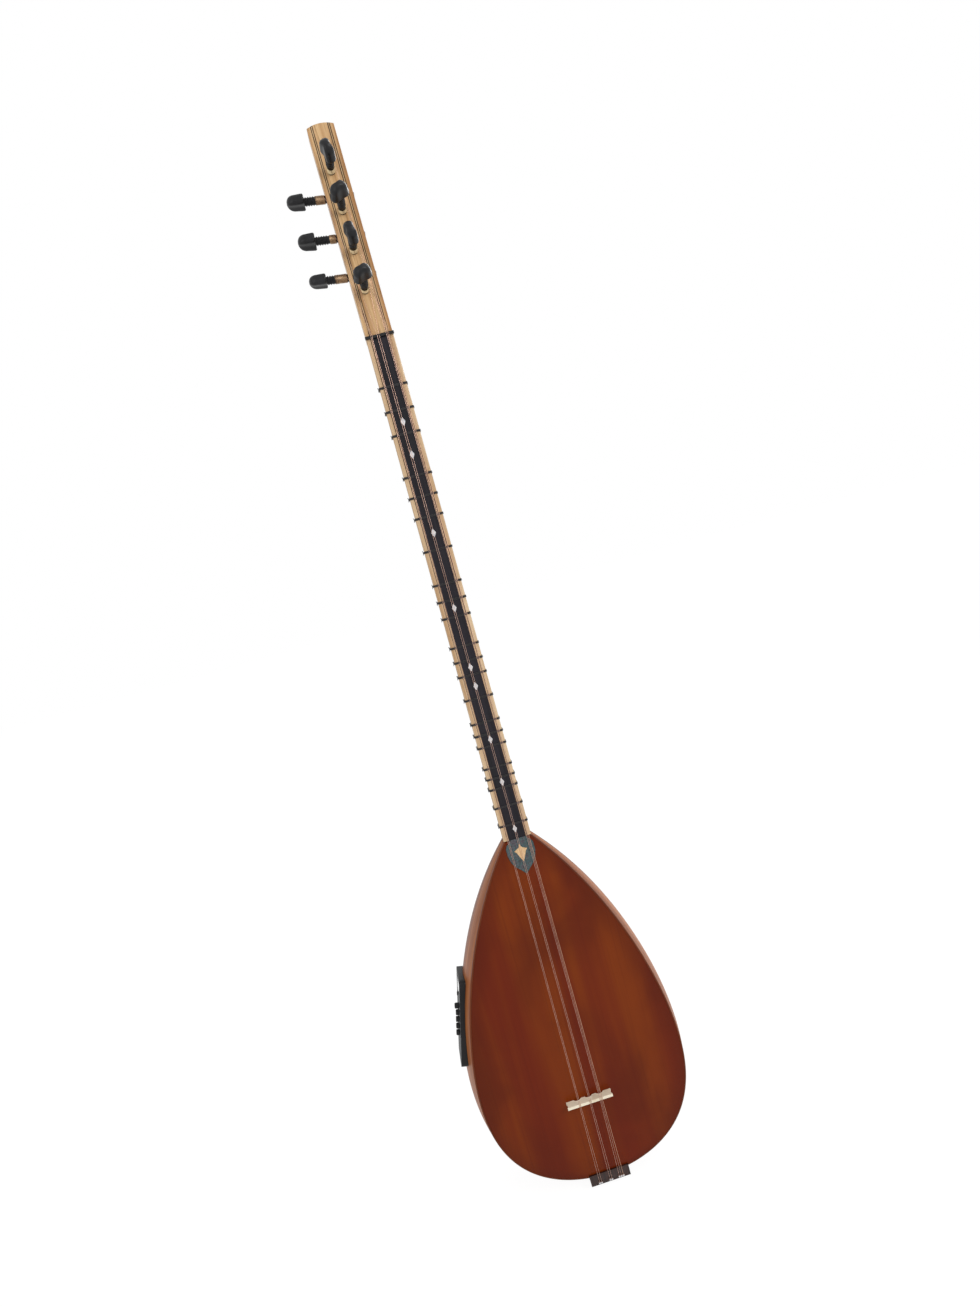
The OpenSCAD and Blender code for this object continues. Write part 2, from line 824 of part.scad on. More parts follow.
// Points round a rectangle with rounded corners, the long sides divided
function corner_points(w, h, r, turn) =
    let (x = (turn == 0 || turn == 3) ? 1 : -1)
    let (y = turn < 2 ? 1 : -1)
    [for (i = [0:4])
        [x * (w / 2 - r) + r * cos(turn * 90 + i * 22.5), y * (h / 2 - r) + r * sin(turn * 90 + i * 22.5)]];
function side_points(a, b, count) = [for (i = [1:count - 1]) a + (b - a) * i / count];
function loop_points(w, h, r) =
    let (c = [for (turn = [0:3]) corner_points(w, h, r, turn)])
    concat(
        c[0], side_points(c[0][4], c[1][0], 4), c[1], side_points(c[1][4], c[2][0], 8),
        c[2], side_points(c[2][4], c[3][0], 4), c[3], side_points(c[3][4], c[0][0], 8));

module screw_holes() {
    screw_places()
        translate([0, 0, -screw_length - 8])
            cylinder(h = screw_length + 12, r = screw_r + run_gap);
}

module knob_places() {
    for (number = [0:4])
        translate([knob_row_x, knob_first - number * knob_pitch, 0])
            children();
}

module screw_places() {
    for (x = [-1, 1])
        for (y = [-1, 1])
            translate([x * (bezel_width / 2 - 3.2), y * (bezel_length / 2 - 4), bezel_rise])
                children();
}

// Rim under the bezel's plate that comes down to the bowl's surface
module bezel_rim() {
    top = bezel_rise - bezel_plate;
    outer = loop_points(bezel_width, bezel_length, bezel_corner);
    inner = loop_points(case_width + 2 * cut_gap, case_length + 2 * cut_gap, 1);
    loop_skin([for (i = [0:len(outer) - 1]) [
        [outer[i][0], outer[i][1], top],
        [outer[i][0], outer[i][1], surface_z(outer[i]) + seat_gap],
        [inner[i][0], inner[i][1], surface_z(inner[i]) + seat_gap],
        [inner[i][0], inner[i][1], top]]]);
}

module preamp_bezel() {
    color([0.07, 0.07, 0.07])
        preamp_place()
            difference() {
                union() {
                    translate([0, 0, bezel_rise - bezel_plate])
                        linear_extrude(bezel_plate)
                            polygon(loop_points(bezel_width, bezel_length, bezel_corner));
                    bezel_rim();
                }
                knob_places()
                    cylinder(h = 10, r = knob_spindle_r + run_gap);
                translate([0, window_middle, bezel_rise])
                    cube([window_size[0] + 0.2, window_size[1] + 0.2, 2.1], center = true);
                translate([button_place[0], button_place[1], 0])
                    cylinder(h = 10, r = button_r + run_gap);
                translate([-door_size[0] / 2 - move_gap, door_middle - door_size[1] / 2 - move_gap, 0])
                    cube([door_size[0] + 2 * move_gap, door_size[1] + 2 * move_gap, 10]);
                screw_places()
                    translate([0, 0, -screw_head])
                        cylinder(h = 3, r = screw_head_r + run_gap);
                screw_holes();
            }
}

module preamp_case() {
    top = bezel_rise - bezel_plate;
    color([0.1, 0.1, 0.1])
        preamp_place()
            difference() {
                union() {
                    translate([-case_width / 2, -case_length / 2, top - case_depth])
                        cube([case_width, case_length, case_depth]);
                    translate([-bay_width / 2, -case_length / 2, top - bay_depth])
                        cube([bay_width, bay_length, bay_depth]);
                }
                translate([
                    -case_width / 2 + case_wall, -case_length / 2 + bay_length, top - case_depth + case_wall])
                    cube([case_width - 2 * case_wall, case_length - bay_length - case_wall, case_depth]);
                translate([
                    case_wall - bay_width / 2, -case_length / 2 + case_wall, top - bay_depth + case_wall])
                    cube([bay_width - 2 * case_wall, bay_length - 2 * case_wall, bay_depth]);
            }
}

module preamp_screws() {
    color("silver")
        preamp_place()
            screw_places() {
                translate([0, 0, -screw_head])
                    cylinder(h = screw_head - 0.1, r = screw_head_r);
                translate([0, 0, -screw_length])
                    cylinder(h = screw_length - 0.5, r = screw_r);
            }
}

module tuner_window() {
    color([0.1, 0.14, 0.16])
        preamp_place()
            translate([0, window_middle, bezel_rise - 0.55])
                cube([window_size[0], window_size[1], 0.9], center = true);
}

module tuner_button() {
    color([0.3, 0.3, 0.3])
        preamp_place()
            translate([button_place[0], button_place[1], 0])
                union() {
                    cylinder(h = bezel_rise + 1.2, r = button_r);
                    cylinder(h = bezel_rise - bezel_plate - 0.1, r = button_r + 0.9);
                }
}

// Rotary knob with a flat cap, a skirt and a spindle through the bezel
module rotary_knob(number, height) {
    color([0.08, 0.08, 0.08])
        preamp_place()
            translate([knob_row_x, knob_first - number * knob_pitch, 0])
                difference() {
                    union() {
                        translate([0, 0, bezel_rise + 0.3])
                            cylinder(h = height - 0.3, r = knob_r);
                        translate([0, 0, -4])
                            cylinder(h = 4 + bezel_rise + 1, r = knob_spindle_r);
                    }
                    translate([-0.25, 0.6, bezel_rise + height - 0.4])
                        cube([0.5, knob_r, 1]);
                }
}

module battery_door() {
    bottom = door_middle - door_size[1] / 2;
    color([0.09, 0.09, 0.09])
        preamp_place()
            union() {
                translate([0, bottom + door_barrel_r, bezel_rise - door_barrel_r])
                    rotate([0, 90, 0])
                        cylinder(h = door_size[0], r = door_barrel_r, center = true);
                translate([-door_size[0] / 2, bottom + door_barrel_r, bezel_rise - door_wall])
                    cube([door_size[0], door_size[1] - door_barrel_r, door_wall]);
            }
}

module battery() {
    color([0.3, 0.3, 0.32])
        preamp_place()
            translate([
                -battery_size[0] / 2, (bay_length - case_length - battery_size[1]) / 2,
                battery_top - battery_size[2]])
                cube(battery_size);
}

// ---- pickup, jack and leads ----

module piezo_pickup() {
    color("goldenrod")
        translate([0, soundboard_wall + glue_gap, -scale_length])
            rotate([-90, 0, 0])
                cylinder(h = 1.2, r = 12);
}

module output_jack() {
    inner_end = jack_bore_length + 10;
    strap_button = jack_flange_wall + strap_groove_length + strap_lip_wall;
    color("silver")
        translate([0, jack_depth, jack_flange_z])
            difference() {
                union() {
                    cylinder(h = inner_end, r = jack_body_r);
                    translate([0, 0, -jack_flange_wall])
                        cylinder(h = jack_flange_wall, r = strap_lip_r);
                    translate([0, 0, -jack_flange_wall - strap_groove_length])
                        cylinder(h = strap_groove_length, r = strap_groove_r);
                    translate([0, 0, -strap_button])
                        cylinder(h = strap_lip_wall, r = strap_lip_r);
                }
                translate([0, 0, -strap_button - 1])
                    cylinder(h = strap_button + 1 + jack_bore_length, r = jack_bore_r);
            }
}

// Tube along a smooth curve through four control points
lead_rings = 16;
function curve_point(c, t) = let (u = 1 - t)
    u * u * u * c[0] + 3 * u * u * t * c[1] + 3 * u * t * t * c[2] + t * t * t * c[3];
module lead(c) {
    skin([for (i = [0:lead_rings])
        let (t = i / lead_rings)
        let (p = curve_point(c, t))
        let (d = unit(curve_point(c, min(t + 0.01, 1)) - curve_point(c, max(t - 0.01, 0))))
        let (side = unit(cross(d, abs(d[1]) > 0.9 ? [1, 0, 0] : [0, 1, 0])))
        let (up = cross(side, d))
        [for (a = [0:45:315]) p + lead_r * (cos(a) * side + sin(a) * up)]]);
}

module inner_leads() {
    case_floor = bezel_rise - bezel_plate - case_depth - 0.2;
    bay_floor = bezel_rise - bezel_plate - bay_depth - 0.2;
    pickup_exit = preamp_to_body([0, 10, case_floor]);
    jack_exit = preamp_to_body([0, -case_length / 2 + bay_length / 2, bay_floor]);
    color([0.12, 0.12, 0.12]) {
        lead([
            pickup_exit, pickup_exit + [45, 0, -10],
            [-60, soundboard_wall + 3, -scale_length + 20], [-12.2, soundboard_wall + 1.6, -scale_length]]);
        lead([
            jack_exit, jack_exit + [35, 0, -8],
            [0, jack_depth, tail_z + 120], [0, jack_depth, jack_flange_z + jack_bore_length + 10.2]]);
    }
}

stave(1);  // stave_1
stave(2);  // stave_2
stave(3);  // stave_3
stave(4);  // stave_4
stave(5);  // stave_5
stave(6);  // stave_6
stave(7);  // stave_7
stave(8);  // stave_8
stave(9);  // stave_9
stave(10);  // stave_10
stave(11);  // stave_11
heel_block();
tail_block();
soundboard();
edge_binding();
plaque();
plaque_star();
bridge();
tailpiece();
string_pins();
neck();
fingerboard();
purfling_dark();
purfling_light();
markers();
headstock();
nut();
tied_frets();
strings_left();
strings_middle();
strings_right();
front_peg(1);  // front_peg_1
front_peg(2);  // front_peg_2
front_peg(3);  // front_peg_3
front_peg(4);  // front_peg_4
side_peg(1);  // side_peg_1
side_peg(2);  // side_peg_2
side_peg(3);  // side_peg_3
front_peg_place(1) winding(front_wound[0]);  // front_winding_1
front_peg_place(2) winding(front_wound[1]);  // front_winding_2
front_peg_place(3) winding(front_wound[2]);  // front_winding_3
front_peg_place(4) winding(front_wound[3]);  // front_winding_4
side_peg_place(1) winding(side_wound[0]);  // side_winding_1
side_peg_place(2) winding(side_wound[1]);  // side_winding_2
side_peg_place(3) winding(side_wound[2]);  // side_winding_3
preamp_bezel();
preamp_case();
preamp_screws();
tuner_window();
tuner_button();
rotary_knob(0, volume_height);  // volume_knob
rotary_knob(1, knob_height);  // tone_knob_1
rotary_knob(2, knob_height);  // tone_knob_2
rotary_knob(3, knob_height);  // tone_knob_3
rotary_knob(4, knob_height);  // tone_knob_4
battery_door();
battery();
piezo_pickup();
output_jack();
inner_leads();
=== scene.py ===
"""Looks of a long-necked baglama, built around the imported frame.

Shapes are worked out in millimetres in the frame's own axes: +Z up the neck, and -Y to the strings.
"""

import json
import logging
import math
from dataclasses import dataclass, field
from enum import Enum

import bmesh
import bpy
import numpy as np
from mathutils import Matrix, Vector


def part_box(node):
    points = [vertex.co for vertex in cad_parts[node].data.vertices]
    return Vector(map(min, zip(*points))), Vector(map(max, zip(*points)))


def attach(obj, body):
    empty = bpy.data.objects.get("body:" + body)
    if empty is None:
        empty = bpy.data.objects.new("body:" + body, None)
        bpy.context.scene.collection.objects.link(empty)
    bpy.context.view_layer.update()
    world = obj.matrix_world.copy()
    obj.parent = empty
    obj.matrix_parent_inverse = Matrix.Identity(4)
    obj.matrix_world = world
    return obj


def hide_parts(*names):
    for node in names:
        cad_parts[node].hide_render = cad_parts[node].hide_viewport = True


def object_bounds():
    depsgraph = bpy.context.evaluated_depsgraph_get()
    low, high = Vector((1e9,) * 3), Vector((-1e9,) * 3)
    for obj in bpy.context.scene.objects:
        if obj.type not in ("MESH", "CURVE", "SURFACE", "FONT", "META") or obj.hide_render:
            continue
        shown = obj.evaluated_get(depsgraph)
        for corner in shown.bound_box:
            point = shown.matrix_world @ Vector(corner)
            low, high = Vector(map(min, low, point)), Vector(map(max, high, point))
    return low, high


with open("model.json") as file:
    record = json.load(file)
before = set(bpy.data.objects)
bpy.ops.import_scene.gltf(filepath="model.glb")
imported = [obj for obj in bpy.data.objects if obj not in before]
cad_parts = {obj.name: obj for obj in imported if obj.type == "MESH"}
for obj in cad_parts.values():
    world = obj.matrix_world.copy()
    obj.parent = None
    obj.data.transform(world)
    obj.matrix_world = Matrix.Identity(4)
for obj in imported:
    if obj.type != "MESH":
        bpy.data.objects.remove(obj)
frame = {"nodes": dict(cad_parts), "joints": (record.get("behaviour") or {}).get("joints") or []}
CAD_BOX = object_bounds()
LOG = logging.getLogger("baglama")
MM = 0.001
FULL_TURN = 2 * math.pi
JOINTS = {joint["name"]: joint for joint in frame["joints"]}
SCALE_LENGTH = 880.0
HEAD_LEAN = math.radians(8)
NUT_THICK = 3.0

Colour = tuple[float, float, float, float]
WHITE: Colour = (1, 1, 1, 1)


def stain(red: int, green: int, blue: int) -> Colour:
    """Colour of a finish from its display values.

    Args:
        red, green, blue: display values from 0 to 255.

    Returns:
        The linear colour that shader sockets take.
    """
    display = np.array([red, green, blue]) / 255
    linear = np.where(display <= 0.04045, display / 12.92, ((display + 0.055) / 1.055) ** 2.4)
    return (*linear.tolist(), 1.0)


def node_box(node: str) -> tuple[np.ndarray, np.ndarray]:
    """Lowest and highest corner of a frame node, in millimetres."""
    low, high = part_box(node)
    return np.array(low) / MM, np.array(high) / MM


# ---------------------------------------------------------------- surfaces


@dataclass
class Shape:
    """Points and faces of a piece, in millimetres.

    uv is each point's place along the surface, in metres: across it, then along it.
    """

    points: np.ndarray
    faces: list[list[int]]
    uv: np.ndarray | None = None
    marks: dict[str, np.ndarray] = field(default_factory=dict)

    def and_shapes(self, others: list["Shape"]) -> "Shape":
        """This shape and others as one.

        Args:
            others: shapes that have a uv if this one has.

        Returns:
            One shape with all the points and faces.
        """
        shapes = [self, *others]
        starts = np.cumsum([0] + [len(s.points) for s in shapes])
        faces = [[i + int(start) for i in face] for s, start in zip(shapes, starts) for face in s.faces]
        uv = None if self.uv is None else np.concatenate([s.uv for s in shapes])
        return Shape(np.concatenate([s.points for s in shapes]), faces, uv)


@dataclass(frozen=True)
class Place:
    """Where a turned piece stands: its origin, and its own x, y and z axes as rows."""

    origin: np.ndarray
    axes: np.ndarray

    def put(self, points: np.ndarray) -> np.ndarray:
        """Points of the piece's own axes, in the frame."""
        return self.origin + points @ self.axes

    def turned(self, degrees: float) -> "Place":
        """The same place, turned about its own z axis."""
        c, s = math.cos(math.radians(degrees)), math.sin(math.radians(degrees))
        turn = np.array([[c, s, 0], [-s, c, 0], [0, 0, 1]])
        return Place(self.origin, turn @ self.axes)


def lattice(rows: int, cols: int, ring: bool = False, loop: bool = False) -> np.ndarray:
    """Quads that join the points of a grid.

    Args:
        rows, cols: size of the grid.
        ring: the last column meets the first.
        loop: the last row meets the first.

    Returns:
        Four point numbers for each quad.
    """
    row, col = np.meshgrid(
        np.arange(rows if loop else rows - 1), np.arange(cols if ring else cols - 1), indexing="ij"
    )
    next_row, next_col = (row + 1) % rows, (col + 1) % cols
    corners = [row * cols + col, row * cols + next_col, next_row * cols + next_col, next_row * cols + col]
    return np.stack(corners, -1).reshape(-1, 4)


def skin(rings: np.ndarray, closed_ends: bool = True, loop: bool = False) -> Shape:
    """Surface through closed rings.

    Args:
        rings: array of rings, points and three coordinates.
        closed_ends: a face closes each end.
        loop: the last ring meets the first.

    Returns:
        The surface, with uv measured round the first ring and along the first point's line.
    """
    rows, cols = rings.shape[:2]
    faces = lattice(rows, cols, ring=True, loop=loop).tolist()
    if closed_ends and not loop:
        faces.append(list(range(cols))[::-1])
        faces.append(list(range((rows - 1) * cols, rows * cols)))
    around = np.concatenate([[0], np.cumsum(np.linalg.norm(np.diff(rings[0], axis=0), axis=1))])
    middle = rings.mean(axis=1)
    along = np.concatenate([[0], np.cumsum(np.linalg.norm(np.diff(middle, axis=0), axis=1))])
    uv = np.stack(np.meshgrid(around, along), -1).reshape(-1, 2) * MM
    return Shape(rings.reshape(-1, 3), faces, uv)


def tube(
    path: np.ndarray, radius: np.ndarray | float, sides: int, guide: np.ndarray, loop: bool = False
) -> Shape:
    """Round tube along a path: each ring is the path's point plus the radius round two directions across it.

    Args:
        path: points along the middle.
        radius: one radius, or one for each point.
        sides: points in each ring.
        guide: a direction, or one for each point, that the path never runs along.
        loop: the path's last point meets its first.

    Returns:
        The tube, closed at its ends.
    """
    if loop:
        ahead = np.roll(path, -1, axis=0) - np.roll(path, 1, axis=0)
    else:
        ahead = np.gradient(path, axis=0)
    ahead /= np.linalg.norm(ahead, axis=1, keepdims=True)
    side = np.cross(np.broadcast_to(guide, path.shape), ahead)
    side /= np.linalg.norm(side, axis=1, keepdims=True)
    up = np.cross(ahead, side)
    angle = np.linspace(0, FULL_TURN, sides, endpoint=False)
    width = np.broadcast_to(radius, (len(path),))[:, None, None]
    round_it = np.cos(angle)[None, :, None] * side[:, None] + np.sin(angle)[None, :, None] * up[:, None]
    return skin(path[:, None] + width * round_it, loop=loop)


def turned_shape(profile: np.ndarray, sides: int, place: Place, ripple: np.ndarray | None = None) -> Shape:
    """Surface of revolution: each profile point runs round the place's z axis.

    Args:
        profile: radius and height of each point.
        sides: points round the axis.
        place: where the axis stands.
        ripple: factor on the radius, for each side, or for each profile point and side.

    Returns:
        The closed surface.
    """
    angle = np.linspace(0, FULL_TURN, sides, endpoint=False)
    radius = profile[:, :1] * (1 if ripple is None else ripple)
    radius = np.broadcast_to(radius, (len(profile), sides))
    height = np.broadcast_to(profile[:, 1:], radius.shape)
    rings = np.stack([radius * np.cos(angle), radius * np.sin(angle), height], -1)
    return skin(place.put(rings))


def shell(outer: np.ndarray, inner: np.ndarray, keep: np.ndarray, uv: np.ndarray) -> Shape:
    """Wall between two grids: the kept quads of both, and a strip wherever a kept quad has no neighbour.

    Args:
        outer, inner: grids of points of the same size.
        keep: which quads are kept, in lattice order.
        uv: uv of each grid point.

    Returns:
        The closed wall.
    """
    rows, cols = outer.shape[:2]
    count = rows * cols
    quads = lattice(rows, cols)[keep]
    starts = quads.reshape(-1)
    ends = np.roll(quads, -1, axis=1).reshape(-1)
    open_edge = ~np.isin(starts * count + ends, ends * count + starts)
    a, b = starts[open_edge], ends[open_edge]
    strip = np.stack([b, a, a + count, b + count], -1)
    faces = np.concatenate([quads, quads[:, ::-1] + count, strip]).tolist()
    points = np.concatenate([outer.reshape(-1, 3), inner.reshape(-1, 3)])
    return Shape(points, faces, np.concatenate([uv, uv]))


# ---------------------------------------------------------------- pieces


class Maker:
    """Puts shapes into the scene as pieces that ride on the frame's bodies."""

    SHARP = math.radians(38)

    @staticmethod
    def _mesh(name: str, shape: Shape) -> bpy.types.Mesh:
        """Mesh of a shape in metres, with its uv and marks."""
        mesh = bpy.data.meshes.new(name)
        mesh.from_pydata((shape.points * MM).tolist(), [], shape.faces)
        if shape.uv is not None:
            layer = mesh.uv_layers.new(name="surface")
            corner = np.zeros(len(mesh.loops), np.int32)
            mesh.loops.foreach_get("vertex_index", corner)
            layer.uv.foreach_set("vector", shape.uv[corner].astype(np.float32).ravel())
        for title, values in shape.marks.items():
            mesh.attributes.new(title, "FLOAT", "POINT").data.foreach_set("value", values.astype(np.float32))
        return mesh

    @staticmethod
    def _tidy(mesh: bpy.types.Mesh, flat: float = 0.0) -> None:
        """Merges doubles, joins flat faces where flat is an angle, and turns faces outwards."""
        work = bmesh.new()
        work.from_mesh(mesh)
        bmesh.ops.remove_doubles(work, verts=work.verts, dist=2e-6)
        bmesh.ops.dissolve_degenerate(work, dist=1e-6, edges=work.edges)
        if flat:
            bmesh.ops.dissolve_limit(work, angle_limit=flat, verts=work.verts, edges=work.edges)
        bmesh.ops.recalc_face_normals(work, faces=work.faces)
        work.to_mesh(mesh)
        work.free()

    @classmethod
    def _finish(
        cls, piece: bpy.types.Object, body: str, finish: "Finish", nodes: tuple[str, ...], slot: str
    ) -> None:
        """Shades and dresses a piece, puts it on its body and hides the frame nodes that it stands for."""
        mesh = piece.data
        mesh.polygons.foreach_set("use_smooth", np.ones(len(mesh.polygons), bool))
        mesh.set_sharp_from_angle(angle=cls.SHARP)
        mesh.materials.clear()
        mesh.materials.append(finish.material())
        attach(piece, body)
        if nodes:
            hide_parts(*nodes)
        LOG.info("%s: %d faces on %s", piece.name, len(mesh.polygons), body)

    @classmethod
    def piece(
        cls,
        name: str,
        shape: Shape,
        finish: "Finish",
        slot: str,
        body: str = "root",
        nodes: tuple[str, ...] = (),
    ) -> bpy.types.Object:
        """Adds a new piece.

        Args:
            name: the piece's name.
            shape: its surface.
            finish: its material.
            slot: the record's material slot; not used.
            body: the body that it rides on.
            nodes: the frame nodes that it stands for.

        Returns:
            The new object.
        """
        mesh = cls._mesh(name, shape)
        cls._tidy(mesh)
        made = bpy.data.objects.new(name, mesh)
        bpy.context.scene.collection.objects.link(made)
        cls._finish(made, body, finish, nodes, slot)
        return made

    @classmethod
    def softened(
        cls, node: str, finish: "Finish", slot: str, width: float, body: str = "root"
    ) -> bpy.types.Object:
        """Adds a copy of a frame node with its sharp edges rounded, which stands for it.

        Args:
            node: the frame node.
            finish: its material.
            slot: the record's material slot; not used.
            width: width of the rounding in millimetres, or 0 for none.
            body: the body that it rides on.

        Returns:
            The new object.
        """
        mesh = frame["nodes"][node].data.copy()
        mesh.name = node + "_soft"
        cls._tidy(mesh, flat=math.radians(0.4))
        made = bpy.data.objects.new(node + "_soft", mesh)
        bpy.context.scene.collection.objects.link(made)
        cls._finish(made, body, finish, (node,), slot)
        if width:
            bevel = made.modifiers.new("rounding", "BEVEL")
            bevel.width = width * MM
            bevel.segments = 3
            bevel.limit_method = "ANGLE"
            bevel.angle_limit = cls.SHARP
            bevel.use_clamp_overlap = True
        return made

    @staticmethod
    def dress(node: str, finish: "Finish") -> None:
        """Gives a frame node its material."""
        target = frame["nodes"][node]
        if not target.material_slots:
            target.data.materials.append(None)
        for place in target.material_slots:
            place.material = finish.material()
        LOG.info("%s: dressed", node)


# ---------------------------------------------------------------- shader maths


class Value:
    """A shader socket whose arithmetic adds Math nodes."""

    def __init__(self, graph: "Graph", socket: bpy.types.NodeSocket) -> None:
        """Wraps one output socket."""
        self.graph = graph
        self.socket = socket

    def _maths(self, operation: str, first: "Value | float", second: "Value | float" = 0.0) -> "Value":
        """One Math node of two values."""
        return self.graph.add("ShaderNodeMath", {"operation": operation}, {0: first, 1: second})

    def __add__(self, other: "Value | float") -> "Value":
        """Sum."""
        return self._maths("ADD", self, other)

    def __sub__(self, other: "Value | float") -> "Value":
        """Difference."""
        return self._maths("SUBTRACT", self, other)

    def __rsub__(self, other: float) -> "Value":
        """Difference from a number."""
        return self._maths("SUBTRACT", other, self)

    def __mul__(self, other: "Value | float") -> "Value":
        """Product."""
        return self._maths("MULTIPLY", self, other)

    __radd__ = __add__
    __rmul__ = __mul__

    def sine(self) -> "Value":
        """Sine of an angle in radians."""
        return self._maths("SINE", self)

    def step(self, low: float, high: float) -> "Value":
        """Smooth step from 0 at low to 1 at high."""
        sockets = {0: self, 1: low, 2: high, 3: 0.0, 4: 1.0}
        return self.graph.add("ShaderNodeMapRange", {"interpolation_type": "SMOOTHSTEP"}, sockets)

    def ramp(self, stops: list[tuple[float, Colour]]) -> "Value":
        """Colour along a ramp."""
        return self.graph.add("ShaderNodeValToRGB", {"stops": stops}, {0: self})


class Graph:
    """Node tree of one material."""

    def __init__(self, name: str) -> None:
        """Starts a material with a bare shader."""
        self.made = bpy.data.materials.new(name)
        self.made.use_nodes = True
        self.tree = self.made.node_tree
        self.tree.nodes.clear()
        self.shader = self.tree.nodes.new("ShaderNodeBsdfPrincipled")
        output = self.tree.nodes.new("ShaderNodeOutputMaterial")
        self.tree.links.new(self.shader.outputs[0], output.inputs[0])

    def add(
        self, kind: str, settings: dict | None = None, inputs: dict | None = None, output: int | str = 0
    ) -> Value:
        """Adds a node.

        Args:
            kind: the node's type.
            settings: its own settings, or stops for a ramp, set first.
            inputs: a number, colour or Value for each named or numbered socket.
            output: the socket that is wanted.

        Returns:
            That output.
        """
        made = self.tree.nodes.new(kind)
        for name, setting in (settings or {}).items():
            if name == "stops":
                self._set_stops(made.color_ramp, setting)
            else:
                setattr(made, name, setting)
        for name, value in (inputs or {}).items():
            self.feed(made.inputs[name], value)
        return Value(self, made.outputs[output])

    @staticmethod
    def _set_stops(ramp: bpy.types.ColorRamp, stops: list[tuple[float, Colour]]) -> None:
        """Sets a ramp's stops."""
        while len(ramp.elements) < len(stops):
            ramp.elements.new(1.0)
        for element, (position, colour) in zip(ramp.elements, stops):
            element.position = position
            element.color = colour

    def feed(self, socket: bpy.types.NodeSocket, value: "Value | float | tuple") -> None:
        """Links a Value to a socket, or sets a number on it."""
        if isinstance(value, Value):
            self.tree.links.new(value.socket, socket)
        else:
            socket.default_value = value

    def set(self, name: str, value: "Value | float | tuple") -> None:
        """Feeds one of the shader's own sockets."""
        self.feed(self.shader.inputs[name], value)

    def mix(self, share: Value | float, first: Value | Colour, second: Value | Colour) -> Value:
        """Mixes two colours."""
        return self.add("ShaderNodeMix", {"data_type": "RGBA"}, {0: share, 6: first, 7: second}, 2)

    def mark(self, name: str) -> Value:
        """A number that the mesh keeps at each point."""
        return self.add("ShaderNodeAttribute", {"attribute_name": name}, output="Fac")

    def axis(self, place: Value, number: int) -> Value:
        """One coordinate of a place: 0, 1 or 2."""
        return self.add("ShaderNodeSeparateXYZ", {}, {0: place}, number)

    def object_place(self, turn: tuple[float, float, float] = (0, 0, 0)) -> Value:
        """Object coordinates in metres, turned by an angle about each axis."""
        place = self.add("ShaderNodeTexCoord", output="Object")
        return self.add("ShaderNodeMapping", {"vector_type": "POINT"}, {"Vector": place, "Rotation": turn})

    def surface_place(self) -> Value:
        """The piece's uv in metres, with the length on z."""
        place = self.add("ShaderNodeUVMap", {"uv_map": "surface"})
        return self.add("ShaderNodeMapping", {}, {"Vector": place, "Rotation": (math.pi / 2, 0, 0)})

    def stretched(self, place: Value, across: float, along: float) -> Value:
        """A place with its x and y scaled by across and its z by along."""
        scale = (across, across, along)
        return self.add("ShaderNodeVectorMath", {"operation": "MULTIPLY"}, {0: place, 1: scale})

    def noise(self, place: Value, scale: float = 1.0, detail: float = 2.0, warp: float = 0.0) -> Value:
        """Noise from 0 to 1."""
        sockets = {"Vector": place, "Scale": scale, "Detail": detail, "Distortion": warp}
        return self.add("ShaderNodeTexNoise", {}, sockets)

    def bump(self, height: Value, strength: float, depth: float) -> None:
        """Feeds a height to the shader's normal, depth in metres."""
        sockets = {"Strength": strength, "Distance": depth, "Height": height}
        self.set("Normal", self.add("ShaderNodeBump", {}, sockets))


class Grain(Enum):
    """What a wood's grain follows."""

    NECK = "the neck's length"
    SURFACE = "the piece's own uv"
    HEAD = "the head's length"


class Finish:
    """A material that is made once and shared."""

    _made: dict["Finish", bpy.types.Material] = {}

    def material(self) -> bpy.types.Material:
        """The material, made the first time."""
        if self not in Finish._made:
            graph = Graph(self.name)
            self.paint(graph)
            Finish._made[self] = graph.made
        return Finish._made[self]

    def paint(self, graph: Graph) -> None:
        """Adds the nodes of this finish."""
        raise NotImplementedError


@dataclass(frozen=True)
class Wood(Finish):
    """Wood with growth bands, fibres and pores along its grain, under lacquer."""

    name: str
    light: Colour
    dark: Colour
    grain: Grain = Grain.NECK
    band: float = 110.0
    fibre: float = 900.0
    contrast: float = 1.0
    pores: float = 0.4
    roughness: float = 0.42
    coat: float = 0.25
    relief: float = 0.25
    seams: bool = False

    def paint(self, graph: Graph) -> None:
        """Bands, fibres and pores are noises that are long along the grain; their sum picks the colour."""
        head_turn = HEAD_LEAN if self.grain is Grain.HEAD else 0.0
        on_surface = self.grain is Grain.SURFACE
        place = graph.surface_place() if on_surface else graph.object_place((head_turn, 0, 0))
        cloud = graph.noise(graph.stretched(place, 16, 3), detail=3, warp=0.3)
        band = graph.noise(graph.stretched(place, self.band, self.band * 0.035), detail=3, warp=0.8)
        fibre = graph.noise(graph.stretched(place, self.fibre, self.fibre * 0.02), detail=2)
        pore = graph.noise(graph.stretched(place, self.fibre * 1.4, self.fibre * 0.05), detail=1)
        pore = pore.step(0.6, 0.72)
        tone = (cloud - 0.5) * 0.7 + (band - 0.5) * 1.6 + (fibre - 0.5) * 0.5
        tone = (tone * self.contrast + 0.5).step(0.0, 1.0)
        colour = graph.mix(tone, self.light, self.dark)
        deep = tuple(c * 0.35 for c in self.dark[:3]) + (1.0,)
        colour = graph.mix(pore * self.pores, colour, deep)
        height = fibre * 0.4 - pore * 0.6 + band * 0.2
        if self.seams:
            line = 1 - graph.mark("seam").step(0.2, 0.55)
            colour = graph.mix(line * 0.75, colour, deep)
            height = height - line * 1.5
        graph.set("Base Color", colour)
        graph.set("Roughness", (fibre - 0.5) * 0.12 + pore * 0.1 + self.roughness)
        graph.set("Coat Weight", self.coat)
        graph.set("Coat Roughness", 0.2)
        graph.set("Specular IOR Level", 0.15)
        graph.bump(height, self.relief, 0.0002)


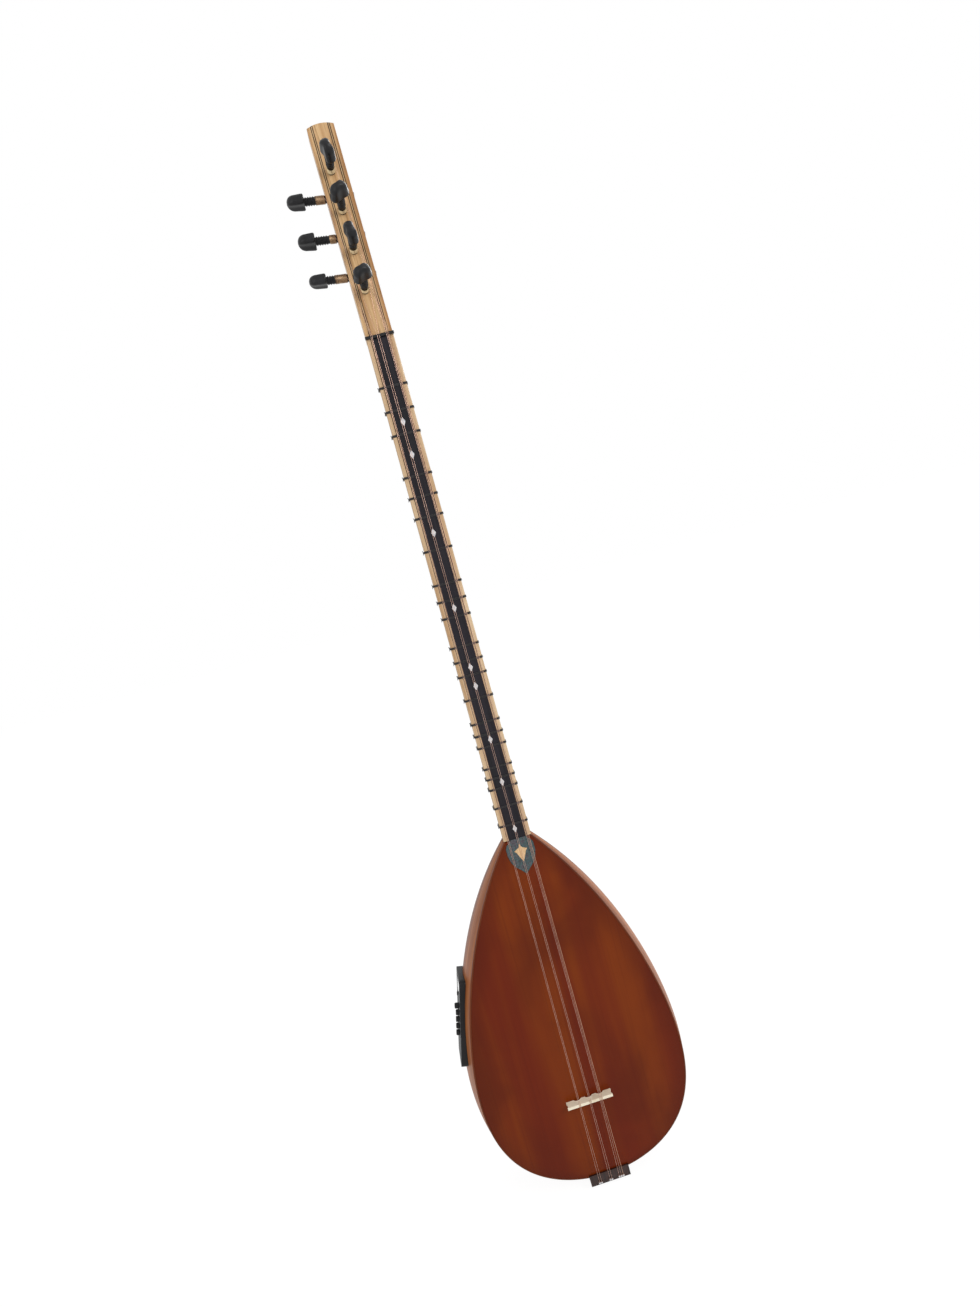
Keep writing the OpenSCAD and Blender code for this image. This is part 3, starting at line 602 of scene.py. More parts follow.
@dataclass(frozen=True)
class Soundboard(Finish):
    """Stained and lacquered softwood: straight fine grain, broad colour bands and faint clouds."""

    name: str = "soundboard lacquer"
    deep: Colour = stain(84, 23, 1)
    red: Colour = stain(106, 31, 3)
    amber: Colour = stain(122, 49, 2)

    def paint(self, graph: Graph) -> None:
        """Broad bands pick between red and amber, clouds darken, and fine lines run along the grain."""
        place = graph.object_place()
        band = graph.noise(graph.stretched(place, 22, 1.3), detail=3, warp=0.5)
        cloud = graph.noise(graph.stretched(place, 11, 8), detail=3, warp=0.4)
        line = graph.noise(graph.stretched(place, 520, 4), detail=2, warp=0.2)
        hair = graph.noise(graph.stretched(place, 1700, 22), detail=1)
        edge = graph.mark("edge")
        colour = graph.mix(band.step(0.36, 0.64), self.red, self.amber)
        colour = graph.mix(cloud.step(0.38, 0.7) * 0.6, colour, self.deep)
        colour = graph.mix(line.step(0.5, 0.75) * 0.3, colour, self.deep)
        colour = graph.mix((1 - edge.step(0.0, 26.0)) * 0.5, colour, self.deep)
        graph.set("Base Color", colour)
        graph.set("Roughness", (cloud - 0.5) * 0.1 + (hair - 0.5) * 0.06 + 0.36)
        graph.set("Specular IOR Level", 0.1)
        graph.set("Coat Weight", 0.07)
        graph.set("Coat Roughness", 0.14)
        graph.bump(line * 0.6 + hair * 0.4 + cloud * 2.0, 0.12, 0.00025)


@dataclass(frozen=True)
class Plastic(Finish):
    """Moulded plastic or polished bone: fine texture, handling marks and faint mottling, which on the tuner
    window is a painted glint.
    """

    name: str
    base: Colour
    wear_and_glint: Colour
    roughness: float = 0.45
    coat: float = 0.0
    texture: float = 2600.0
    relief: float = 0.12

    def paint(self, graph: Graph) -> None:
        """A fine noise is the moulded texture, and a broad one mixes in the second colour: worn patches, and
        on the tuner window a painted greenish glint.
        """
        place = graph.object_place()
        fine = graph.noise(place, self.texture, detail=2)
        broad = graph.noise(place, 70, detail=4, warp=0.5)
        scuff = graph.noise(graph.stretched(place, 900, 120), detail=3, warp=1.0).step(0.62, 0.74)
        # Broad patches and scuffs mix in the second colour: worn plastic, and on the tuner window a painted
        # glint.
        graph.set("Base Color", graph.mix(broad.step(0.4, 0.75) * 0.6 + scuff * 0.25, self.base, self.wear_and_glint))
        graph.set("Roughness", (broad - 0.5) * 0.16 + scuff * 0.08 + (fine - 0.5) * 0.06 + self.roughness)
        graph.set("Specular IOR Level", 0.3)
        graph.set("Coat Weight", self.coat)
        graph.set("Coat Roughness", 0.1)
        graph.bump(fine * 0.7 + broad * 0.5, self.relief, 0.0001)


@dataclass(frozen=True)
class Metal(Finish):
    """Drawn, wound or plated metal: streaks, tarnish and, on wire, turns along its uv."""

    name: str
    base: Colour
    tarnish: Colour
    roughness: float = 0.3
    wound: float = 0.0

    def paint(self, graph: Graph) -> None:
        """Tarnish is a cloudy noise; the turns of a wound wire are a sine along its length."""
        place = graph.object_place()
        cloud = graph.noise(place, 160, detail=3, warp=0.6)
        streak = graph.noise(graph.stretched(place, 1500, 60), detail=2)
        graph.set("Base Color", graph.mix(cloud.step(0.4, 0.72) * 0.6, self.base, self.tarnish))
        graph.set("Metallic", 1.0)
        graph.set("Roughness", (cloud - 0.5) * 0.2 + (streak - 0.5) * 0.1 + self.roughness)
        height = streak * 0.3 + cloud * 0.2
        if self.wound:
            along = graph.axis(graph.surface_place(), 2)
            height = height + (along * (FULL_TURN / self.wound)).sine() * 0.5
        graph.bump(height, 0.3, 0.0001)


@dataclass(frozen=True)
class ShellInlay(Finish):
    """Polished shell: curved layers of shifting colour with dark veins."""

    name: str
    hues: tuple[Colour, ...]
    vein: Colour
    scale: float = 130.0
    veins: float = 0.7
    lines: float = 0.0

    def paint(self, graph: Graph) -> None:
        """A warped noise runs through the hues, and a ridged noise draws the veins."""
        place = graph.object_place((0.3, 0.2, 0.5))
        flow = graph.noise(graph.stretched(place, self.scale, self.scale * 0.45), detail=3, warp=2.2)
        fine = graph.noise(graph.stretched(place, self.scale * 3, self.scale * 2), detail=3, warp=1.2)
        stops = [(0.3 + 0.4 * i / (len(self.hues) - 1), hue) for i, hue in enumerate(self.hues)]
        colour = (flow * 0.75 + fine * 0.25).ramp(stops)
        sockets = {"Vector": place, "Scale": self.scale * 1.6}
        cell = graph.add("ShaderNodeTexVoronoi", {"feature": "DISTANCE_TO_EDGE"}, sockets)
        vein = (1 - cell.step(0.0, 0.12)) * fine.step(0.35, 0.6)
        if self.lines:
            straight = graph.object_place()
            for axis in (0, 2):
                across = graph.axis(straight, axis)
                vein = vein + (across * self.lines + flow * 9.0).sine().step(0.55, 1.0) * 0.35
        graph.set("Base Color", graph.mix(vein * self.veins, colour, self.vein))
        graph.set("Roughness", fine * 0.15 + 0.15)
        graph.set("Metallic", flow * 0.35)
        graph.set("Coat Weight", 0.6)
        graph.set("Coat Roughness", 0.06)
        graph.bump(fine, 0.08, 0.0001)


@dataclass(frozen=True)
class Cord(Finish):
    """Twisted nylon cord: strands that slant along its uv."""

    name: str
    base: Colour
    sheen: Colour
    lay: float = 0.0011

    def paint(self, graph: Graph) -> None:
        """A sine along the cord and round it is the twist; a fine noise is the fibre."""
        place = graph.surface_place()
        along = graph.axis(place, 2)
        across = graph.axis(place, 0)
        twist = (along * (FULL_TURN / self.lay) + across * (FULL_TURN / 0.0012)).sine()
        fibre = graph.noise(graph.object_place(), 4200, detail=2)
        graph.set("Base Color", graph.mix(twist.step(0.1, 1.0) * 0.7 + fibre * 0.2, self.base, self.sheen))
        graph.set("Roughness", fibre * 0.2 + 0.35)
        graph.bump(twist * 0.5 + fibre * 0.4, 0.5, 0.00012)


BOARD = Soundboard()
BOWL_LIGHT = Wood(
    "bowl stave light", stain(176, 106, 58), stain(134, 74, 38), Grain.SURFACE, band=90, roughness=0.45,
    coat=0.08, relief=0.1, seams=True,
)
BOWL_DARK = Wood(
    "bowl stave dark", stain(146, 84, 46), stain(100, 54, 28), Grain.SURFACE, band=120, roughness=0.45,
    coat=0.12, relief=0.1, seams=True,
)
BINDING = Wood("edge binding", stain(122, 58, 22), stain(82, 34, 12), Grain.SURFACE, coat=0.1, relief=0.1)
BLOCK = Wood("sawn block", stain(186, 148, 102), stain(150, 110, 70), roughness=0.7, coat=0.0, relief=0.5)
TAIL_CAP = Wood(
    "tail cap", stain(122, 74, 46), stain(80, 44, 26), band=70, roughness=0.32, coat=0.5, relief=0.1
)
NECK_WOOD = Wood(
    "neck wood", stain(226, 200, 164), stain(186, 148, 108), band=150, contrast=0.9, pores=0.25,
    roughness=0.4, coat=0.3, relief=0.15,
)
HEAD_WOOD = Wood(
    "head wood", stain(222, 186, 138), stain(172, 124, 78), Grain.HEAD, band=120, contrast=1.25, pores=0.45,
    roughness=0.4, coat=0.3, relief=0.15,
)
EBONY = Wood(
    "fingerboard", stain(40, 37, 44), stain(22, 20, 25), band=160, pores=0.5, roughness=0.38, coat=0.1,
    relief=0.2,
)
DARK_STRIP = Wood("dark strip", stain(88, 62, 44), stain(50, 32, 22), band=300, roughness=0.4, relief=0.15)
LIGHT_STRIP = Wood(
    "light strip", stain(214, 186, 142), stain(180, 146, 102), band=300, roughness=0.4, relief=0.15
)
STAR_WOOD = Wood("star", stain(236, 204, 160), stain(214, 170, 120), band=400, pores=0.2, relief=0.1)
TAIL_WOOD = Wood("tailpiece", stain(60, 30, 22), stain(30, 14, 10), band=200, roughness=0.3, coat=0.5)
BONE = Plastic(
    "bridge bone", stain(246, 236, 212), stain(224, 206, 172), roughness=0.38, texture=1500, relief=0.2
)
NUT_BLACK = Plastic("nut", stain(22, 21, 22), stain(44, 42, 42), roughness=0.35)
PEG_BLACK = Plastic("peg", stain(15, 15, 17), stain(34, 34, 38), roughness=0.4, texture=1800, relief=0.1)
PREAMP_BLACK = Plastic("preamp shell", stain(14, 14, 15), stain(32, 32, 34), roughness=0.5, relief=0.3)
KNOB_BLACK = Plastic("preamp knob", stain(12, 12, 13), stain(30, 30, 32), roughness=0.42, relief=0.2)
LINE_WHITE = Plastic("pointer line", stain(190, 190, 188), stain(150, 150, 148), roughness=0.5)
# The window's second colour is a painted greenish glint, mottled over its dark face.
WINDOW = Plastic("tuner window", stain(34, 30, 42), stain(52, 66, 62), roughness=0.12, coat=0.8, relief=0.02)
LEAD = Plastic("lead rubber", stain(24, 24, 24), stain(50, 50, 50), roughness=0.6)
BATTERY = Plastic("battery wrap", stain(64, 66, 72), stain(120, 108, 70), roughness=0.3, coat=0.3)
STEEL = Metal("string steel", stain(208, 172, 156), stain(170, 132, 118), roughness=0.26)
WOUND_STEEL = Metal("wound string", stain(208, 168, 144), stain(166, 126, 102), roughness=0.32, wound=0.00035)
# One winding wire in two painted copies: a lighter lit copy for the front pegs, and a darker copy with
# painted shade for the side pegs, which face away from the light.
COIL_LIT = Metal("peg winding lit front", stain(216, 192, 152), stain(168, 140, 100), roughness=0.34)
COIL_SHADED = Metal("peg winding shaded side", stain(168, 140, 110), stain(104, 80, 60), roughness=0.38)
CHROME = Metal("plated steel", stain(206, 206, 208), stain(150, 146, 142), roughness=0.22)
PICKUP_BRASS = Metal("pickup brass", stain(222, 184, 110), stain(150, 112, 60), roughness=0.35)
ABALONE = ShellInlay(
    "abalone",
    (stain(16, 32, 38), stain(26, 62, 68), stain(50, 82, 84), stain(78, 62, 74), stain(22, 46, 58)),
    stain(12, 18, 22), scale=150, veins=0.85, lines=1900.0,
)
PEARL = ShellInlay(
    "pearl", (stain(186, 190, 198), stain(214, 216, 220), stain(230, 226, 224), stain(196, 204, 208)),
    stain(150, 152, 160), scale=260, veins=0.3,
)
NYLON = Cord("fret cord", stain(24, 22, 24), stain(64, 60, 62))


# ---------------------------------------------------------------- body


@dataclass
class BowlForm:
    """Outline of the soundboard and surface of the bowl behind it."""

    tail_z: float = field(default_factory=lambda: float(node_box("soundboard")[0][2]))
    joint_z: float = field(default_factory=lambda: float(node_box("soundboard")[1][2]))
    width: float = field(default_factory=lambda: float(np.ptp([b[0] for b in node_box("soundboard")])))
    board_wall: float = field(default_factory=lambda: float(node_box("soundboard")[1][1]))
    joint_half: float = 16.0
    depth: float = 180.0
    lean: float = math.radians(19)
    fullness: tuple[float, float, float] = (2.92, -1.6, 1.59)
    peak: float = 0.55

    def _belly(self, s: np.ndarray | float) -> np.ndarray | float:
        """Belly shape: s(1 - s²) times a fourth-degree even polynomial."""
        a, b, c = self.fullness
        return s * (1 - s * s) * (a + b * s * s + c * s**4)

    def half_width(self, s: np.ndarray | float) -> np.ndarray | float:
        """Half of the outline's width at s, 0 at the tail and 1 at the neck."""
        scale = (self.width / 2 - self.joint_half * self.peak**4) / self._belly(self.peak)
        return self.joint_half * s**4 + scale * self._belly(s)

    def height(self, s: np.ndarray | float) -> np.ndarray | float:
        """Height of the outline at s: the square of s along the body."""
        return self.tail_z + (self.joint_z - self.tail_z) * s * s

    def edge(self, s: np.ndarray, inset: np.ndarray | float) -> np.ndarray:
        """Points of the outline, moved inwards by inset along its normal."""
        after, before = np.minimum(s + 0.004, 1.0), s - 0.004
        run = np.stack(
            [self.half_width(after) - self.half_width(before), self.height(after) - self.height(before)], -1
        )
        run /= np.linalg.norm(run, axis=-1, keepdims=True)
        normal = np.stack([run[..., 1], -run[..., 0]], -1)
        return np.stack([self.half_width(s), self.height(s)], -1) - np.asarray(inset)[..., None] * normal

    def rail(self, s: np.ndarray, inset: float, y: float, side: np.ndarray | float) -> np.ndarray:
        """Points along the outline at one inset and depth, with x times side, up to the neck joint."""
        edge = self.edge(s, inset)
        return np.stack([side * edge[:, 0], np.full_like(s, y), np.minimum(edge[:, 1], self.joint_z)], -1)

    def surface(self, s: np.ndarray, angle: np.ndarray, inset: np.ndarray | float) -> np.ndarray:
        """Points of the bowl: an ellipse leaned in at its ends, from the right edge round to the left."""
        flat = self.edge(s, inset)
        wide = flat[..., 0] / math.cos(self.lean)
        deep = (self.depth * self.half_width(s) * 2 / self.width - inset) / (1 + math.sin(self.lean))
        y = self.board_wall + deep * (np.sin(angle) + math.sin(self.lean))
        return np.stack([wide * np.cos(angle), y, np.minimum(flat[..., 1], self.joint_z)], -1)


@dataclass
class Bowl:
    """The staves, the tail cap, the soundboard and its binding."""

    form: BowlForm
    preamp: Place
    stave_count: int = 11
    wall: float = 3.0
    tail_share: float = 0.075
    binding: float = 1.8
    glue: float = 0.1

    def _stave(self, number: int) -> Shape:
        """One stave: a strip of the bowl's surface with its long edges eased, and its wall.

        Args:
            number: 1 at the right edge to 11 at the left.

        Returns:
            The closed stave, cut away under the preamp.
        """
        near_preamp = number >= self.stave_count - 1
        rows, cols = (190, 37) if near_preamp else (120, 21)
        sweep = (math.pi + 2 * self.form.lean) / self.stave_count
        low = -self.form.lean + (number - 1) * sweep
        steps = np.linspace(self.tail_share, 1, rows), np.linspace(0, 1, cols)
        share, across = np.meshgrid(*steps, indexing="ij")
        across = (1 - np.cos(across * math.pi)) / 2 * 0.5 + across * 0.5
        angle = low + sweep * across
        radius = self.form.half_width(share)
        seam = np.minimum(across, 1 - across) * sweep * radius
        ease = 0.16 * np.exp(-((seam / 0.45) ** 2))
        outer = self.form.surface(share, angle, ease)
        inner = self.form.surface(share, angle, self.wall)
        keep = np.ones((rows - 1, cols - 1), bool)
        if near_preamp:
            middle = (outer[1:, 1:] + outer[:-1, 1:] + outer[1:, :-1] + outer[:-1, :-1]) / 4
            local = (middle - self.preamp.origin) @ self.preamp.axes.T
            width, length = Preamp.OPENING
            inside = (abs(local[..., 0]) < width / 2) & (abs(local[..., 1]) < length / 2)
            keep = ~inside
        length = np.cumsum(np.linalg.norm(np.diff(outer, axis=0, prepend=outer[:1]), axis=-1), axis=0)
        uv = np.stack([(across - 0.5) * sweep * radius + number * 61, length], -1).reshape(-1, 2) * MM
        made = shell(outer, inner, keep.ravel(), uv)
        made.marks["seam"] = np.tile(seam.ravel(), 2)
        return made

    def _board(self) -> Shape:
        """The soundboard: at each height, a section from the left edge to the right and back behind."""
        share = np.linspace(0, 1, 220) ** 0.9
        lip = self.binding + self.glue
        ease = 0.25
        fan = np.sin(np.linspace(-1, 1, 41) * math.pi / 2)
        front = [(0.0, self.form.board_wall), (0.0, self.binding), (lip, self.binding), (lip, ease)]
        left = [self.form.rail(share, inset, y, -1.0) for inset, y in front]
        middle = [self.form.rail(share, lip + ease, 0.0, u) for u in fan]
        right = [self.form.rail(share, inset, y, 1.0) for inset, y in front[::-1]]
        made = skin(np.stack(left + middle + right, 1))
        border = np.zeros((len(share), len(front)))
        distance = (1 - abs(fan)) * self.form.edge(share, lip + ease)[:, :1]
        made.marks["edge"] = np.concatenate([border, distance, border], 1).ravel()
        return made

    def _binding(self) -> Shape:
        """The binding: a square section with its outer front corner rounded, carried round the outline."""
        run = np.linspace(-1, 1, 460)
        share = abs(run) ** 1.1
        side = np.where(run < 0, -1.0, 1.0)
        round_off = np.linspace(0, math.pi / 2, 6)
        w = self.binding
        corner = 0.9
        section = [(w, w), (w, 0.0)]
        section += [(corner - corner * math.sin(a), corner - corner * math.cos(a)) for a in round_off]
        section += [(0.0, w)]
        return skin(np.stack([self.form.rail(share, inset, y, side) for inset, y in section], 1))

    def build(self) -> None:
        """Makes the body's pieces."""
        for number in range(1, self.stave_count + 1):
            finish = BOWL_DARK if number % 2 == 0 else BOWL_LIGHT
            stave = self._stave(number)
            Maker.piece(f"bowl_stave_{number}", stave, finish, "stave_wood", nodes=(f"stave_{number}",))
        Maker.piece("board", self._board(), BOARD, "soundboard_wood", nodes=("soundboard",))
        Maker.piece("binding", self._binding(), BINDING, "binding_wood", nodes=("edge_binding",))
        Maker.softened("tail_block", TAIL_CAP, "block_wood", 0)
        Maker.dress("heel_block", BLOCK)


@dataclass
class Trim:
    """The plaque, the star, the bridge, the tailpiece and its pins.

    star_side is the right half of the star's outline, in shares of its width and height.
    """

    star_width: float = 15.0
    star_height: float = 21.0
    star_side: tuple[tuple[float, float], ...] = (
        (0.0, 0.5), (0.06, 0.38), (0.13, 0.29), (0.27, 0.24), (0.5, 0.16), (0.35, 0.04), (0.28, -0.08),
        (0.18, -0.24), (0.08, -0.4), (0.0, -0.5),
    )

    def _star(self) -> Shape:
        """The star: a short top point, two wide wings and a long lower point, with a chamfered edge."""
        low, high = node_box("plaque_star")
        right = np.array(self.star_side) * [self.star_width, self.star_height]
        outline = np.concatenate([right, right[-2:0:-1] * [-1, 1]])
        middle = (low + high) / 2
        levels = [(high[1], 1.0), (low[1] + 0.2, 1.0), (low[1], 0.93)]
        x, z = outline.T
        rings = [
            np.column_stack([middle[0] + share * x, np.full(len(x), y), middle[2] + share * z])
            for y, share in levels
        ]
        return skin(np.array(rings))

    def build(self) -> None:
        """Makes the pieces on the soundboard."""
        Maker.softened("plaque", ABALONE, "abalone", 0.25)
        Maker.piece("star", self._star(), STAR_WOOD, "star_wood", nodes=("plaque_star",))
        Maker.softened("bridge", BONE, "bridge_bone", 0.35)
        Maker.softened("tailpiece", TAIL_WOOD, "tail_wood", 0.6)
        Maker.softened("string_pins", CHROME, "pin_steel", 0.12)


# ---------------------------------------------------------------- neck and head


@dataclass
class Neck:
    """The neck, the fingerboard, its strips and markers, and the tied frets."""

    length: float = 550.0
    half_nut: float = 14.25
    half_body: float = 16.0
    deep_nut: float = 22.0
    deep_body: float = 25.0
    channel_nut: float = 7.7 + 2.5
    channel_body: float = 9.3 + 2.5
    board_wall: float = 3.0
    cord: float = 0.8
    turns: int = 3
    ratios: tuple[float, ...] = (
        18 / 17, 12 / 11, 9 / 8, 81 / 68, 27 / 22, 81 / 64, 4 / 3, 24 / 17, 16 / 11, 3 / 2, 27 / 17,
        18 / 11, 27 / 16, 16 / 9, 32 / 17, 64 / 33, 2.0, 36 / 17, 24 / 11, 9 / 4, 81 / 34, 81 / 32,
    )

    def _at(self, z: np.ndarray | float, nut: float, body: float) -> np.ndarray | float:
        """A size that runs evenly from the nut to the body."""
        return nut + (body - nut) * (-z / self.length)

    def _section(self, z: np.ndarray | float) -> tuple[np.ndarray | float, np.ndarray | float]:
        """Half of the neck's width, and its depth, at z."""
        return self._at(z, self.half_nut, self.half_body), self._at(z, self.deep_nut, self.deep_body)

    def _body(self) -> Shape:
        """The neck: flat front with a channel, straight sides and a half-round back, tapered to the nut."""
        z = np.linspace(-self.length, NUT_THICK, 60)
        half, deep = self._section(z)
        channel = self._at(z, self.channel_nut, self.channel_body)
        ease = 1.0
        corner = np.linspace(0, math.pi / 2, 6)
        back = np.linspace(math.pi, 0, 41)
        left = [(-channel, np.full_like(z, self.board_wall)), (-channel, np.zeros_like(z))]
        bend = [(1 - math.sin(a), 1 - math.cos(a)) for a in corner]
        left += [(-half + ease * x, np.full_like(z, ease * y)) for x, y in bend]
        middle = [(half * math.cos(a), deep - half + half * math.sin(a)) for a in back]
        right = [(-x, y) for x, y in left[::-1]]
        xy = np.stack([np.stack(p, -1) for p in left + middle + right], 1)
        lean = np.where(np.arange(len(z)) == len(z) - 1, math.tan(HEAD_LEAN), 0.0)
        return skin(np.concatenate([xy, (z[:, None] - lean[:, None] * xy[..., 1])[..., None]], -1))

    def _tenon(self) -> Shape:
        """The tenon that the heel block holds: a square bar with eased edges, from inside the neck's end."""
        low, high = node_box("neck")[0][2], 2.0 - self.length
        front, size, ease = 3.6, 12.0, 0.5
        turn = np.linspace(0, math.pi / 2, 5)
        corner = np.stack([np.cos(turn), np.sin(turn)], -1) * ease
        quarter = [corner @ np.linalg.matrix_power(np.array([[0, 1], [-1, 0]]), i) for i in range(4)]
        middle = [np.array([x, y]) * (size / 2 - ease) for x, y in ((1, 1), (-1, 1), (-1, -1), (1, -1))]
        outline = np.concatenate([q + m for q, m in zip(quarter, middle)]) + [0, front + size / 2]
        heights = np.array([low, low + ease, high])
        shrink = np.array([1 - ease / size * 2, 1.0, 1.0])[:, None, None]
        xy = (outline - [0, front + size / 2]) * shrink + [0, front + size / 2]
        return skin(np.concatenate([xy, np.broadcast_to(heights[:, None, None], (3, len(outline), 1))], -1))

    def _loop(self, z: float, room: float, count: int = 72) -> np.ndarray:
        """Points at even steps round the neck at z, at a distance from it."""
        half, deep = self._section(z)
        corner = np.linspace(0, math.pi / 2, 5)
        back = np.linspace(0, math.pi, 25)
        right = np.stack([half + room * np.sin(corner), -room * np.cos(corner)], -1)
        round_back = np.stack([(half + room) * np.cos(back), deep - half + (half + room) * np.sin(back)], -1)
        left = right[::-1] * [-1, 1]
        outline = np.concatenate([right, round_back, left, right[:1]])
        step = np.concatenate([[0], np.cumsum(np.linalg.norm(np.diff(outline, axis=0), axis=1))])
        even = np.linspace(0, step[-1], count, endpoint=False)
        return np.stack([np.interp(even, step, outline[:, 0]), np.interp(even, step, outline[:, 1])], -1)

    def _fret(self, number: int, chance: np.random.Generator) -> Shape:
        """A tied fret: turns of cord round the neck, a knot on its upper side and two trimmed ends.

        Args:
            number: 1 at the nut.
            chance: source of the small unevenness of hand tying.

        Returns:
            The whole tie.
        """
        z = -SCALE_LENGTH * (1 - 1 / self.ratios[number - 1])
        room = 0.1 + self.cord / 2
        loop = self._loop(z, room)
        shapes = []
        for turn in range(self.turns):
            offset = (turn - (self.turns - 1) / 2) * self.cord
            wobble = chance.normal(0, 0.035, 5)
            angle = np.linspace(0, FULL_TURN, len(loop), endpoint=False)
            slip = wobble[0] * np.sin(angle + wobble[1] * 40) + wobble[2] * np.sin(2 * angle + wobble[3] * 40)
            path = np.column_stack([loop, z + offset + slip])
            shapes.append(tube(path, self.cord / 2, 7, np.array([0.0, 0.0, 1.0]), loop=True))
        half, deep = self._section(z)
        centre = np.array([-half - self.cord * 1.15, (deep - half) * 0.55 + chance.normal(0, 0.4), z])
        t = np.linspace(0, FULL_TURN, 34, endpoint=False)
        loops = [np.sin(3 * t) * 0.3, np.sin(t) + 2 * np.sin(2 * t), np.cos(t) - 2 * np.cos(2 * t)]
        knot = np.stack(loops, -1)
        knot[:, 1:] *= 0.36
        shapes.append(tube(centre + knot, self.cord * 0.42, 6, np.array([1.0, 0.2, 0.1]), loop=True))
        for way in (-1, 1):
            s = np.linspace(0, 1, 6)[:, None]
            reach = np.array([-0.6, 0.9 * way + chance.normal(0, 0.2), 2.3 * way])
            bow = np.array([-0.5, 0.0, 0.0]) * (s * (1 - s))
            shapes.append(tube(centre + s * reach + bow, self.cord * 0.4, 6, np.array([1.0, 0.1, 0.0])))
        return shapes[0].and_shapes(shapes[1:])

    def build(self) -> None:
        """Makes the neck's pieces."""
        Maker.piece("neck_body", self._body(), NECK_WOOD, "neck_wood", nodes=("neck",))
        Maker.piece("neck_tenon", self._tenon(), NECK_WOOD, "neck_wood", nodes=("neck",))
        Maker.dress("fingerboard", EBONY)
        Maker.dress("purfling_dark", DARK_STRIP)
        Maker.dress("purfling_light", LIGHT_STRIP)
        Maker.dress("markers", PEARL)
        Maker.softened("nut", NUT_BLACK, "nut_black", 0.3)
        Maker.softened("headstock", HEAD_WOOD, "neck_wood", 0.7)
        chance = np.random.default_rng(7)
        for number in range(1, len(self.ratios) + 1):
            fret = self._fret(number, chance)
            Maker.piece(f"fret_{number}", fret, NYLON, "fret_nylon", nodes=("tied_frets",))


@dataclass
class Peg:
    """A friction peg with its ringed stem, its knob and the string that is wound on it."""

    name: str
    joint: dict
    turn: float
    grip: float
    wound: float
    coil: Finish
    on_front: bool
    shaft: float = 3.6
    stem: float = 22.0
    knob_length: float = 18.0
    knob_half: float = 10.0
    dome: float = 9.0
    waist: float = 4.4
    lobe_half: float = 5.6
    lobe_middle: float = 7.4
    corner: float = 1.7
    wire: float = 0.32

    def _place(self) -> Place:
        """The peg's place from its joint: z out along the peg, x across the head or up it."""
        z = np.array(self.joint["axis"])
        if self.on_front:
            x = np.array([1.0, 0.0, 0.0])
        else:
            y = np.array([0.0, math.cos(HEAD_LEAN), -math.sin(HEAD_LEAN)])
            x = np.cross(y, z)
        return Place(np.array(self.joint["pos_m"]) / MM, np.array([x, np.cross(z, x), z])).turned(self.turn)

    def _stem(self, place: Place) -> Shape:
        """The stem: a straight shaft that swells into rings under the knob."""
        rings = [(self.shaft * 0.9, -self.grip), (self.shaft, -self.grip + 0.6), (self.shaft, self.stem - 13)]
        for i in range(5):
            base = self.stem - 12.4 + i * 2.5
            low, high = self.shaft + 0.05, self.shaft + 0.65
            rings += [(low, base), (high, base + 0.5), (high, base + 1.2), (low, base + 1.7)]
        rings += [(self.shaft + 0.2, self.stem + 1.0)]
        return turned_shape(np.array(rings), 40, place)

    def _knob(self, place: Place) -> Shape:
        """The knob: a bullet outline with two thick rounded lobes and a dished waist between them.

        The half thickness grows smoothly from the waist to the lobes, and a fourth-power arc rounds it off
        at the outline. A sixth-power arc draws it in towards the domed end.
        """
        top = self.knob_length - self.dome
        dome_steps = top + self.dome * np.sin(np.linspace(0.1, math.pi / 2, 19))
        v = np.concatenate([[0.0, 0.12, 0.45, 1.0, 1.7], np.linspace(2.6, top, 8), dome_steps])
        straight = self.knob_half - (self.knob_half - self.dome) * np.clip((v - 3) / (top - 3), 0, 1)
        cap = np.sqrt(np.clip(self.dome**2 - np.clip(v - top, 0, None) ** 2, 0, None))
        left_over = np.clip(self.corner - v, 0, None)
        ease = self.corner - np.sqrt(np.clip(self.corner**2 - left_over**2, 0, None))
        width = np.where(v < top, straight, cap) - ease
        angle = np.linspace(0, FULL_TURN, 80, endpoint=False)
        share = np.cos(angle)
        x = width[:, None] * share
        rise = np.clip(abs(x) / self.lobe_middle, 0, 1)
        thick = self.waist + (self.lobe_half - self.waist) * rise**2 * (3 - 2 * rise)
        end = np.sqrt(1 - 0.94 * np.clip((v - 4) / (self.knob_length - 4), 0, 1) ** 6)
        arc = np.sign(np.sin(angle)) * np.sqrt(np.clip(1 - share**4, 0, 1))
        y = arc * (thick * end[:, None] - ease[:, None] * 0.8)
        z = np.broadcast_to(self.stem + v[:, None], x.shape)
        rings = np.stack([x, y, z], -1)
        return skin(place.put(rings))

    def _coil(self, place: Place) -> Shape:
        """Wire wound on the shaft: a helix whose turns lie side by side, from 1 mm up the shaft."""
        pitch = 2 * self.wire
        turns = (self.wound - pitch) / pitch
        angle = np.linspace(0, turns * FULL_TURN, int(turns * 26))
        radius = self.shaft + 0.1 + self.wire
        height = 1 + self.wire + angle / FULL_TURN * pitch
        path = np.stack([radius * np.cos(angle), radius * np.sin(angle), height], -1)
        return tube(place.put(path), self.wire, 6, place.axes[2])

    def build(self, body: str) -> None:
        """Makes the peg and its coil on their body."""
        place = self._place()
        node = self.name
        Maker.piece(node + "_stem", self._stem(place), PEG_BLACK, "peg_plastic", body, (node,))
        Maker.piece(node + "_knob", self._knob(place), PEG_BLACK, "peg_plastic", body, (node,))
        winding = node.replace("peg", "winding")
        Maker.piece(winding + "_wire", self._coil(place), self.coil, "winding_brass", body, (winding,))


